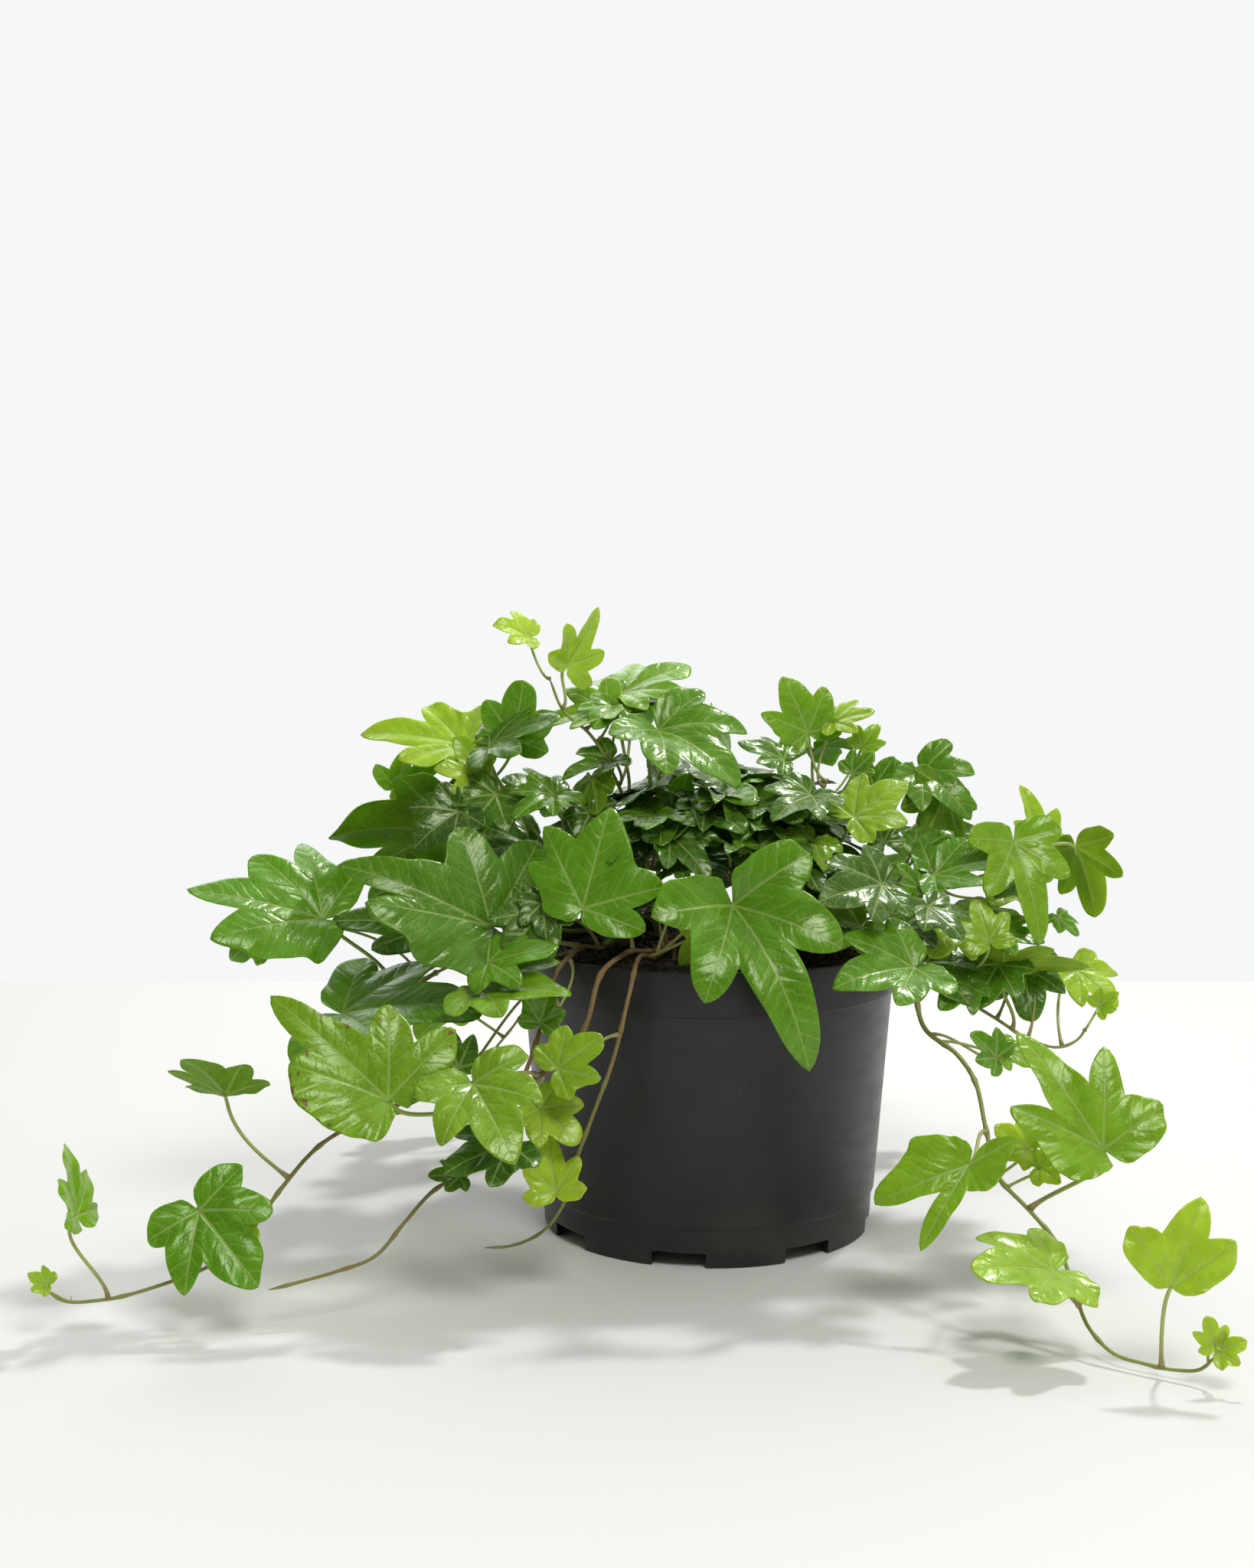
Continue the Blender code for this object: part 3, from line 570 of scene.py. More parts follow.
def spaced(points, step):
    """Points an even step apart on a smooth curve through the given ones."""
    points = [Vector(p) for p in points]
    ends = [points[0] * 2 - points[1]] + points + [points[-1] * 2 - points[-2]]
    fine = []
    for a, b, c, d in zip(ends, ends[1:], ends[2:], ends[3:]):
        before, here, after = (b - a).length, (c - b).length, (d - c).length
        leave = ((b - a) / before * here + (c - b) / here * before) / (before + here) * here
        reach = ((c - b) / here * after + (d - c) / after * here) / (here + after) * here
        for k in range(CURVE_STEPS):
            t = k / CURVE_STEPS
            fine.append(b * (2 * t ** 3 - 3 * t * t + 1) + leave * (t ** 3 - 2 * t * t + t)
                        + c * (3 * t * t - 2 * t ** 3) + reach * (t ** 3 - t * t))
    fine.append(points[-1])
    travelled = [0.0]
    for a, b in zip(fine, fine[1:]):
        travelled.append(travelled[-1] + (b - a).length)
    count = max(2, round(travelled[-1] / step))
    made = []
    at = 0
    for k in range(count + 1):
        goal = travelled[-1] * k / count
        while at < len(fine) - 2 and travelled[at + 1] < goal:
            at += 1
        span = travelled[at + 1] - travelled[at]
        made.append(fine[at].lerp(fine[at + 1], (goal - travelled[at]) / span if span else 0))
    return made


def stem_path(name):
    points = [Vector(p) for p in STEMS[name][1]]
    foot = points[0]
    foot.z = soil_height(foot.x * MM, foot.y * MM) / MM - STEM_ROOTED
    points.insert(1, foot + Vector((0, 0, FOOT_RISE)))
    return spaced(points, STEM_STEP)


STEM_PATHS = {name: stem_path(name) for name in STEMS}


def stem_radius(name, share):
    return STEMS[name][0] * (1 - (1 - STEM_TIP_SHARE) * share)


def stem_place(name, share):
    """Where a leaf joint sits on a stem, which way the stem runs there and how thick it is."""
    path = STEM_PATHS[name]
    at = min(share * (len(path) - 1), len(path) - 1.001)
    low = int(at)
    run = path[low + 1] - path[low]
    return path[low] + run * (at - low), run.normalized(), stem_radius(name, share)


# A living stem: a line of points with its own thickness becomes a round, slightly gnarled tube, and rootlets
# stand along it where the line says so
living, inlet = geometry_tree("living_stem", Gnarl="Float", Gnarl_Size="Float", Rootlet_Gap="Float",
                              Rootlet_Length="Float", Seed="Int", Material="Material")
thick = node(living, "GeometryNodeInputNamedAttribute", {0: "thick"}, data_type="FLOAT").outputs[0]
rooting = node(living, "GeometryNodeInputNamedAttribute", {0: "rooting"}, data_type="FLOAT").outputs[0]
line = node(living, "GeometryNodeMeshToCurve", {0: inlet["Geometry"]})
ring = node(living, "GeometryNodeCurvePrimitiveCircle", {"Resolution": 12, "Radius": 1.0})
tube = node(living, "GeometryNodeCurveToMesh", {"Curve": line.outputs[0], "Profile Curve": ring.outputs[0],
                                               "Scale": thick, "Fill Caps": True})
gnarls = node(living, "ShaderNodeTexNoise", {"Scale": inlet["Gnarl Size"], "Detail": 3}).outputs[0]
depth = times(living, minus(living, gnarls, 0.5), inlet["Gnarl"])
out = node(living, "ShaderNodeVectorMath", {0: node(living, "GeometryNodeInputNormal").outputs[0],
                                            "Scale": depth}, operation="SCALE")
bark = node(living, "GeometryNodeSetPosition", {"Geometry": tube.outputs[0], "Offset": out.outputs[0]})
beads = node(living, "GeometryNodeResampleCurve", {"Curve": line.outputs[0], "Length": inlet["Rootlet Gap"]},
             mode="LENGTH")
chance = node(living, "FunctionNodeRandomValue", {"Seed": inlet["Seed"]}, data_type="FLOAT")
picked = node(living, "FunctionNodeCompare", {0: rooting, 1: chance.outputs[1]}, data_type="FLOAT",
              operation="GREATER_THAN")
rootlet = node(living, "GeometryNodeMeshCone", {
    "Vertices": 5, "Radius Top": 0.00005, "Radius Bottom": 0.00028, "Depth": inlet["Rootlet Length"]})
lean = node(living, "FunctionNodeRandomValue", {0: (-2.6, -2.6, 0.0), 1: (2.6, 2.6, 6.28), "Seed": 5},
            data_type="FLOAT_VECTOR")
grow = node(living, "FunctionNodeRandomValue", {2: 0.4, 3: 1.0, "Seed": 6}, data_type="FLOAT")
rootlets = node(living, "GeometryNodeInstanceOnPoints", {
    "Points": beads.outputs[0], "Selection": picked.outputs[0], "Instance": rootlet.outputs[0],
    "Rotation": lean.outputs[0], "Scale": grow.outputs[1]})
joined = node(living, "GeometryNodeJoinGeometry")
living.links.new(rootlets.outputs[0], joined.inputs[0])
living.links.new(bark.outputs[0], joined.inputs[0])
finish_tree(living, inlet, joined)


def float_attribute(mesh, name, values):
    mesh.attributes.new(name, "FLOAT", "POINT").data.foreach_set("value", np.asarray(values, np.float32))


def vector_attribute(mesh, name, values):
    data = mesh.attributes.new(name, "FLOAT_VECTOR", "POINT").data
    data.foreach_set("vector", np.asarray(values, np.float32).ravel())


stem_bark, tree, shader = new_material("stem_bark", Roughness=0.6)
place = object_place(tree)
age = node(tree, "ShaderNodeAttribute", attribute_name="age").outputs["Fac"]
fibres = rippled(tree, place, 900.0, 4)
blotches = rippled(tree, place, 140.0, 3)
dirt = node(tree, "ShaderNodeGroup", {"Place": place, "Speck Size": 1700.0, "Amount": 0.8}, node_tree=grit)
green = mixed(tree, blotches, (0.20, 0.25, 0.040, 1), (0.40, 0.40, 0.12, 1))
wood = mixed(tree, fibres, (0.125, 0.070, 0.026, 1), (0.34, 0.22, 0.090, 1))
turning = ranged(tree, plus(tree, age, times(tree, blotches, 0.4)), 0.45, 0.95)
colour = mixed(tree, turning, green, wood)
colour = mixed(tree, times(tree, dirt.outputs["Specks"], 0.5), colour, (0.05, 0.03, 0.015, 1))
tree.links.new(colour, shader.inputs["Base Color"])
tree.links.new(ranged(tree, turning, 0, 1, 0.42, 0.75), shader.inputs["Roughness"])
bumped(tree, shader, fibres, 0.5, 0.0003)

# How far each stem has turned to wood: at its root and at its tip
STEM_AGE = {"stem_left_long": (0.95, 0.35), "stem_left_short": (0.95, 0.45), "stem_front": (0.9, 0.3),
            "stem_right_long": (0.55, 0.05), "stem_right_low": (0.5, 0.1)}
PLAIN_AGE = (0.6, 0.1)

for number, name in enumerate(STEMS):
    path = STEM_PATHS[name]
    mesh = bpy.data.meshes.new(name)
    mesh.from_pydata([p * MM for p in path], [(k, k + 1) for k in range(len(path) - 1)], [])
    old, young = STEM_AGE.get(name, PLAIN_AGE)
    thickness, ages, roots = [], [], []
    for k in range(len(path)):
        share = k / (len(path) - 1)
        run = k * STEM_STEP % JOINT_SPACING
        near = min(run, JOINT_SPACING - run) / JOINT_HALF
        swell = 1 + JOINT_SWELL * math.exp(-near * near)
        end = min(1.0, STEM_END + STEM_END_GROWTH * (len(path) - 1 - k))
        thickness.append(STEM_LOOK * stem_radius(name, share) * swell * end * MM)
        ages.append(old + (young - old) * share)
        rooting = ROOT_CHANCE * math.exp(-(near * ROOT_SPREAD) ** 2) * (1 - share)
        roots.append(rooting if share > ROOT_START else 0)
    float_attribute(mesh, "thick", thickness)
    float_attribute(mesh, "age", ages)
    float_attribute(mesh, "rooting", roots)
    grown = grown_by(living, mesh, Gnarl=0.00022, Gnarl_Size=420.0, Rootlet_Gap=0.0009, Rootlet_Length=0.0022,
                     Seed=number, Material=stem_bark)
    piece(name.replace("stem", "runner"), grown, [stem_bark], "stems", name)


# The leaves: thin, leathery, three to five lobes round a heart-shaped base, each on its own stalk from a
# joint of a stem. Old ones are dark and glossy with pale veins, young ones small, soft and yellow-green.
# Outline forms: degrees from the midrib and the share of the midrib's length that the edge reaches there.
# A form with no degrees below zero is the same on both sides.
FORMS = {
    "five": [
        (0, 1.00), (15, 0.76), (27, 0.60), (42, 0.76), (57, 0.62), (74, 0.50), (92, 0.58), (116, 0.46),
        (152, 0.22),
    ],
    "long": [
        (0, 1.00), (10, 0.70), (23, 0.47), (40, 0.62), (56, 0.50), (74, 0.38), (97, 0.49), (122, 0.38),
        (155, 0.18),
    ],
    "kite": [
        (-85, 0.25), (-55, 0.60), (-34, 0.84), (-17, 0.72), (0, 1.00), (28, 0.60), (50, 0.72), (73, 0.58),
        (100, 0.22),
    ],
    "young": [
        (0, 1.00), (17, 0.80), (30, 0.66), (46, 0.82), (62, 0.66), (79, 0.56), (99, 0.60), (126, 0.46),
        (154, 0.24),
    ],
    "wide_spread": [
        (-155, 0.20), (-115, 0.66), (-98, 0.54), (-75, 0.72), (-58, 0.58), (-42, 0.68), (-18, 0.66),
        (0, 1.00), (12, 0.70), (28, 0.88), (40, 0.68), (52, 0.65), (70, 0.46), (95, 0.42), (155, 0.18),
    ],
    "long_lobed": [
        (-155, 0.20), (-120, 0.52), (-97, 0.66), (-78, 0.54), (-50, 0.68), (-28, 0.54), (-12, 0.62),
        (0, 1.00), (8, 0.66), (16, 0.77), (30, 0.58), (50, 0.56), (66, 0.42), (90, 0.40), (150, 0.19),
    ],
    "maple": [
        (-155, 0.18), (-118, 0.44), (-96, 0.60), (-76, 0.54), (-62, 0.82), (-40, 0.70), (-20, 0.74),
        (0, 1.00), (20, 0.74), (38, 0.95), (50, 0.70), (66, 0.70), (80, 0.46), (115, 0.34), (155, 0.17),
    ],
    "notched": [
        (-155, 0.15), (-124, 0.32), (-92, 0.62), (-74, 0.46), (-50, 0.64), (-26, 0.50), (-10, 0.66),
        (0, 1.00), (10, 0.64), (24, 0.70), (40, 0.60), (68, 0.46), (90, 0.34), (120, 0.30), (155, 0.13),
    ],
    "trident": [
        (-155, 0.20), (-112, 0.40), (-84, 0.52), (-58, 0.50), (-36, 0.72), (-22, 0.50), (-10, 0.66),
        (0, 1.00), (10, 0.64), (24, 0.50), (37, 0.68), (54, 0.50), (80, 0.42), (106, 0.36), (155, 0.16),
    ],
    "claw": [
        (-155, 0.20), (-120, 0.32), (-84, 0.62), (-62, 0.64), (-37, 1.05), (-26, 0.56), (-16, 0.46),
        (0, 1.00), (10, 0.56), (26, 0.32), (60, 0.33), (90, 0.36), (120, 0.38), (142, 0.56), (162, 0.35),
    ],
}

# Name: stem, share of the stem at its node, blade base, run from base to tip, where the face looks
# (degrees round from +X, degrees up), form, arch, tone (0 for an old dark leaf, 1 for the youngest)
LEAVES = {
    "leaf_left_1":
        ("stem_left_mid", 0.90, (-149, -25, 124), (-51, -12, 12), (-100, 48), "wide_spread", 0.2, 0.5),
    "leaf_left_2":
        ("stem_left_short", 0.24, (-82, -57, 126), (-55, -10, 26), (-95, 40), "long_lobed", 0.2, 0.32),
    "leaf_left_3": ("stem_left_mid", 0.60, (-102, -3, 153.6), (-46, -18, 2), (95, 40), "young", 0.35, 0.42),
    "leaf_left_4": ("stem_left_mid", 0.74, (-138, -50, 92), (54, -20, 6), (-100, 62), "five", 0.2, 0.45),
    "leaf_left_5": ("stem_upper_left", 0.88, (-97, 6, 189), (-44, 6, 5), (-80, 50), "long", 0.2, 0.85),
    "leaf_left_6": ("stem_upper_left", 0.98, (-76, -8, 192), (4, 2, 24), (-90, 20), "young", 0.2, 0.45),
    "leaf_left_7":
        ("stem_upper_left", 0.55, (-82, -24, 172), (-12, -14, -18), (-90, 40), "five", 0.3, 0.25),
    "leaf_low_left_1":
        ("stem_left_short", 0.56, (-114, -108, 74), (-42, 10, 34), (-90, 42), "notched", 0.2, 0.62),
    "leaf_low_left_2":
        ("stem_left_long", 0.40, (-85, -106, 79), (16, -24, -22), (-90, 45), "five", 0.3, 0.64),
    "leaf_low_left_3":
        ("stem_left_short", 0.34, (-92, -82, 79), (-6, 4, 14), (-90, 30), "young", 0.2, 0.15),
    "leaf_low_left_4":
        ("stem_left_short", 0.54, (-72, -108, 58), (-22, -10, -7), (-90, 60), "young", 0.2, 0.1),
    # leaf_low_left_5 has a near-youngest tone: its pale yellow-green is partly its own young colour and
    # partly painted light, the glow of light shining through it from behind.
    "leaf_low_left_5": ("stem_front", 0.72, (-57, -96, 38), (-3, 8, 18), (-95, 30), "five", 0.2, 0.92),
    "leaf_low_left_6": ("stem_front", 0.46, (-56, -96, 82), (16, 0, 12), (-80, 35), "young", 0.2, 0.7),
    "leaf_low_left_7": ("stem_left_mid", 0.44, (-84, -72, 106), (32, -18, 0), (-90, 62), "five", 0.2, 0.6),
    "leaf_trail_left_1":
        ("stem_left_long", 0.70, (-172, -98, 73), (-10, -22, 17), (80, 45), "five", 0.3, 0.5),
    "leaf_trail_left_2":
        ("stem_left_long", 0.81, (-176, -124, 40), (22, -12, -22), (-100, 45), "young", 0.2, 0.45),
    "leaf_trail_left_3": ("stem_left_long", 0.93, (-214, -136, 42), (-6, 4, 24), (-5, 5), "five", 0.2, 0.6),
    "leaf_top_1": ("stem_top", 0.90, (-55, -12, 221), (12, 8, 23), (-40, 10), "long", 0.2, 0.85),
    "leaf_top_2": ("stem_top", 0.55, (-33, 2, 210), (28, 14, 10), (-90, 70), "five", 0.2, 0.55),
    "leaf_top_3": ("stem_top", 0.45, (-20, -18, 196), (30, -22, -22), (-80, 55), "five", 0.5, 0.5),
    "leaf_top_4": ("stem_top", 0.38, (-60, -28, 172), (-14, -16, -8), (-100, 50), "five", 0.3, 0.4),
    "leaf_top_5": ("stem_left_short", 0.14, (-48, -66, 134), (10, 12, 36), (-95, 28), "maple", 0.1, 0.45),
    "leaf_top_6": ("stem_front", 0.10, (-16, -42, 158), (14, -14, -16), (-70, 45), "five", 0.3, 0.15),
    "leaf_top_7": ("stem_right_top", 0.38, (8, -38, 153), (18, 16, 18), (-100, 40), "five", 0.2, 0.1),
    "leaf_top_8": ("stem_front", 0.18, (6, -72, 136), (26, -24, -56), (-95, 50), "long", 0.8, 0.45),
    "leaf_right_1": ("stem_right_top", 0.98, (40, 6, 194), (-10, 2, 22), (-90, 25), "young", 0.2, 0.6),
    "leaf_right_2": ("stem_right_top", 0.80, (29, -10, 184), (-18, 0, 7), (-100, 60), "five", 0.2, 0.2),
    "leaf_right_3": ("stem_right_top", 0.60, (38, -30, 172), (-16, -18, -8), (-90, 55), "five", 0.3, 0.15),
    "leaf_right_4": ("stem_right_up", 0.42, (85, 6, 178), (18, -14, -18), (-100, 45), "five", 0.5, 0.35),
    "leaf_right_5": ("stem_right_top", 0.46, (54, -33, 164), (21, 6, 13), (-90, 55), "young", 0.2, 0.75),
    "leaf_right_6": ("stem_right_up", 0.50, (86, -24, 141), (34, -2, 7), (-90, 55), "long", 0.2, 0.35),
    "leaf_right_7": ("stem_right_long", 0.08, (62, -54, 141), (-26, -16, -4), (-95, 35), "five", 0.2, 0.15),
    "leaf_right_8": ("stem_right_long", 0.12, (80, -48, 132), (11, -13, -11), (-60, 40), "young", 0.2, 0.1),
    "leaf_right_9": ("stem_right_long", 0.20, (72, -70, 113), (-32, -16, -5), (-95, 50), "five", 0.3, 0.45),
    "leaf_far_right_1": ("stem_right_up", 0.86, (136, 14, 148), (-9, 4, 25), (-60, 0), "long", 0.2, 0.84),
    "leaf_far_right_2":
        ("stem_right_up", 0.74, (116, -26, 154), (8, -14, -38), (-80, 42), "long", 0.3, 0.62),
    "leaf_far_right_3": ("stem_right_up", 0.92, (143, -12, 150), (7, -6, -28), (40, 20), "five", 0.2, 0.75),
    "leaf_far_right_4":
        ("stem_right_low", 0.55, (104, -42, 118), (-4, 8, 15), (-90, 20), "young", 0.2, 0.7),
    "leaf_far_right_5": ("stem_right_low", 0.75, (114, -22, 104), (33, -6, 1), (70, 60), "five", 0.2, 0.7),
    "leaf_trail_right_1":
        ("stem_right_long", 0.66, (129, -120, 60), (-25, 22, 36), (-90, 35), "trident", 0.2, 0.64),
    "leaf_trail_right_2":
        ("stem_right_long", 0.54, (84, -118, 54), (-18, -10, -28), (-100, 45), "claw", 0.3, 0.64),
    "leaf_trail_right_3":
        ("stem_right_long", 0.80, (107, -146, 27), (-30, -12, 3), (-90, 68), "young", 0.2, 0.76),
    "leaf_trail_right_4":
        ("stem_right_long", 0.93, (137, -174, 31), (11, 6, 28), (-95, 30), "kite", 0.2, 0.92),
    "leaf_back_1": ("stem_back_left", 0.55, (-78, 84, 122), (-30, 30, -22), (110, 45), "five", 0.4, 0.4),
    "leaf_back_2": ("stem_back_right", 0.55, (70, 90, 124), (26, 30, -24), (70, 45), "five", 0.4, 0.4),
    "leaf_back_3": ("stem_back_right", 0.20, (8, 62, 152), (4, 34, -22), (90, 50), "long", 0.4, 0.4),
}
# How much of the edge has dried to brown
SCORCHED = {"leaf_low_left_1": 1.0, "leaf_left_4": 0.35, "leaf_top_8": 0.3, "leaf_right_7": 0.4}
LEAF_THICK = 0.42
STALK_RADIUS = 0.82
STALK_STEPS = 18
STALK_SIDES = 8
STEM_AIR = 0.5
EDGE_STEPS = 6
LOBE_FULL = 0.10
TIP_SOFT = 0.45
NOTCH_CLOSE = 12
NOTCH_REACH = 0.13
RINGS = (0.045, 0.12, 0.21, 0.31, 0.42, 0.53, 0.64, 0.74, 0.83, 0.91, 0.965, 1.0)
CRINKLE = 0.6
CRINKLE_SPAN = 6.0
VEIN_GROOVE = 0.75
VEIN_REACH = 3.2
GOLDEN_TURN = 2.399
# How much one leaf may differ from the next in its lobes, bays, wavy edge, twist and hanging tip
LOBE_CHANGE = (0.94, 1.06)
LOBE_SWING = 3
BAY_CHANGE = (0.80, 0.92)
BAY_SWING = 2
FOLD_ROUND = 0.04
WAVE = (0.022, 0.036)
WAVE_COUNTS = (5, 6, 7)
RIPPLE = 0.45
RIPPLE_COUNTS = (12, 14, 17)
TWIST = (-0.14, 0.14)
TIP_HANG = (0.04, 0.16)
TIP_HANG_FROM = 0.62
# The stalk leaves the blade a little behind its base, under the midrib, and is thickest at the stem
STALK_DROP = 0.5
STALK_UNDER = 0.10
STALK_WAY = 0.35
STALK_WAY_IN = 0.3
STALK_SWELL = 0.75


def bezier(a, b, c, d, t):
    return a * (1 - t) ** 3 + b * (3 * t * (1 - t) ** 2) + c * (3 * t * t * (1 - t)) + d * t ** 3


def leaf_bend(number, arch):
    """How far a leaf arches, folds and droops: each one a little differently."""
    turn = number * GOLDEN_TURN
    return arch, 0.16 + 0.08 * math.sin(turn * 1.7), 0.25 + 0.12 * math.cos(turn)


def leaf_outline(form, steps):
    """The blade's edge for a midrib of 1, from one side of its notch round to the other, and its lobe tips.
    Lobes have full sides and blunt tips, bays are narrow, and no two leaves are quite alike."""
    rim = FORMS[form]
    if rim[0][0] == 0:
        rim = [(-a, r) for a, r in reversed(rim[1:])] + rim
    rim = [(rim[0][0] - NOTCH_CLOSE, NOTCH_REACH)] + rim + [(rim[-1][0] + NOTCH_CLOSE, NOTCH_REACH)]
    corners, kinds = [], []
    for i, (angle, reach) in enumerate(rim):
        before = rim[max(i - 1, 0)][1]
        after = rim[min(i + 1, len(rim) - 1)][1]
        kind = "side"
        if reach > before and reach >= after:
            kind = "tip"
        elif reach < before and reach <= after:
            kind = "bay"
        if kind == "tip" and reach < 1:
            reach *= random.uniform(*LOBE_CHANGE)
            angle += random.uniform(-LOBE_SWING, LOBE_SWING)
        elif kind == "bay" and 0 < i < len(rim) - 1:
            reach *= random.uniform(*BAY_CHANGE)
            angle += random.uniform(-BAY_SWING, BAY_SWING)
        turn = math.radians(angle)
        corners.append(np.array((reach * math.cos(turn), reach * math.sin(turn))))
        kinds.append(kind)
    edge, held = [], []
    for i in range(len(corners) - 1):
        chord = corners[i + 1] - corners[i]
        out = np.array((chord[1], -chord[0]))
        full = LOBE_FULL if "tip" in kinds[i:i + 2] else LOBE_FULL / 2
        for k in range(steps):
            t = k / steps
            edge.append(corners[i] + chord * t + out * (4 * full * t * (1 - t)))
            held.append(k == 0 and (kinds[i] == "bay" or i == 0))
    edge.append(corners[-1])
    held.append(True)
    edge = np.array(edge)
    free = np.where(held, 0.0, 1.0)[1:-1, None]
    free[[i * steps - 1 for i in range(1, len(corners) - 1) if kinds[i] == "tip"]] = TIP_SOFT
    for _ in range(2):
        edge[1:-1] += free * (edge[:-2] + edge[2:] - 2 * edge[1:-1]) / 4
    return edge, [corners[i] for i in range(len(corners)) if kinds[i] == "tip"]


def nearest_vein(flat, tips):
    """How far each flat point of the blade lies from the nearest main vein, and how far along that vein."""
    away = np.full(len(flat), 1e9)
    along = np.zeros(len(flat))
    for tip in tips:
        reach = np.linalg.norm(tip)
        run = np.clip(flat @ (tip / reach), 0, reach)
        gap = np.linalg.norm(flat - run[:, None] * (tip / reach), axis=1)
        nearer = gap < away
        away = np.where(nearer, gap, away)
        along = np.where(nearer, run, along)
    return away, along


def thickened(points, faces, depth):
    """A closed shell: the sheet, a second one under it, and an edge between them. The sheet comes first."""
    sheet = bpy.data.meshes.new("sheet")
    sheet.from_pydata(points, [], faces)
    normals = np.empty(len(points) * 3, np.float32)
    sheet.vertex_normals.foreach_get("vector", normals)
    bpy.data.meshes.remove(sheet)
    under = points - normals.reshape(-1, 3) * depth[:, None]
    count = len(points)
    flipped = [tuple(i + count for i in reversed(face)) for face in faces]
    sides = [pair for face in faces for pair in zip(face, face[1:] + face[:1])]
    inner = set(sides)
    edge = [(b, a, a + count, b + count) for a, b in sides if (b, a) not in inner]
    return np.concatenate([points, under]), faces + flipped + edge


def stalk_tube(path, radii, first):
    """A round stalk along a path: its points and its faces, numbered from first."""
    points, faces = [], []
    across = None
    for k, place in enumerate(path):
        run = (path[min(k + 1, len(path) - 1)] - path[max(k - 1, 0)]).normalized()
        across = (run.orthogonal() if across is None else across - run * across.dot(run)).normalized()
        up = run.cross(across)
        for s in range(STALK_SIDES):
            turn = 2 * math.pi * s / STALK_SIDES
            points.append(place + (across * math.cos(turn) + up * math.sin(turn)) * radii[k])
    for k in range(len(path) - 1):
        for s in range(STALK_SIDES):
            a, b = first + k * STALK_SIDES + s, first + k * STALK_SIDES + (s + 1) % STALK_SIDES
            faces.append((a, b, b + STALK_SIDES, a + STALK_SIDES))
    last = first + (len(path) - 1) * STALK_SIDES
    faces.append(tuple(reversed(range(first, first + STALK_SIDES))))
    faces.append(tuple(range(last, last + STALK_SIDES)))
    return points, faces


def blade_rise(number, arch, flat, ring_of):
    """How high the sheet stands over its flat outline, for a midrib of 1."""
    arch, fold, droop = leaf_bend(number, arch)
    rho = np.linalg.norm(flat, axis=1)
    theta = np.arctan2(flat[:, 1], flat[:, 0])
    v = flat[:, 1]
    rise = arch * (rho - rho ** 2) + fold * (np.sqrt(v * v + FOLD_ROUND ** 2) - FOLD_ROUND) - droop * v * v
    wave = random.uniform(*WAVE)
    rise += wave * rho * ring_of ** 2 * np.sin(theta * random.choice(WAVE_COUNTS) + random.uniform(0, 6))
    ripple = RIPPLE * wave * ring_of ** 3
    rise += ripple * np.sin(theta * random.choice(RIPPLE_COUNTS) + random.uniform(0, 6))
    rise += random.uniform(*TWIST) * v * flat[:, 0]
    return rise - random.uniform(*TIP_HANG) * np.clip(rho - TIP_HANG_FROM, 0, 1) ** 1.5


def stalk_line(stem, share, base, along, up, length):
    """The middle of a leaf's stalk from under the blade to its stem, its radii and its length."""
    joint, stem_run, stem_thick = stem_place(stem, share)
    start = base - along * 0.03 * length - up * STALK_DROP
    outward = start - joint
    outward = (outward - stem_run * outward.dot(stem_run)).normalized()
    end = joint + outward * (stem_thick - STEM_AIR)
    reach = (start - end).length
    leave = start + (along * -0.5 - up * 0.85).normalized() * reach * STALK_WAY
    arrive = end + outward * reach * STALK_WAY_IN
    thick = STALK_RADIUS * (0.55 + 0.45 * min(1.0, length / 45))
    path = [base + along * STALK_UNDER * length - up * (0.35 * thick + LEAF_THICK), base - up * 0.6 * thick]
    radii = [thick * 0.35, thick * 0.8]
    for k in range(1, STALK_STEPS + 1):
        t = k / STALK_STEPS
        path.append(bezier(start, leave, arrive, end, t))
        radii.append(thick * (0.95 + STALK_SWELL * max(0.0, t * 6 - 5) ** 1.5))
    return path, radii, reach


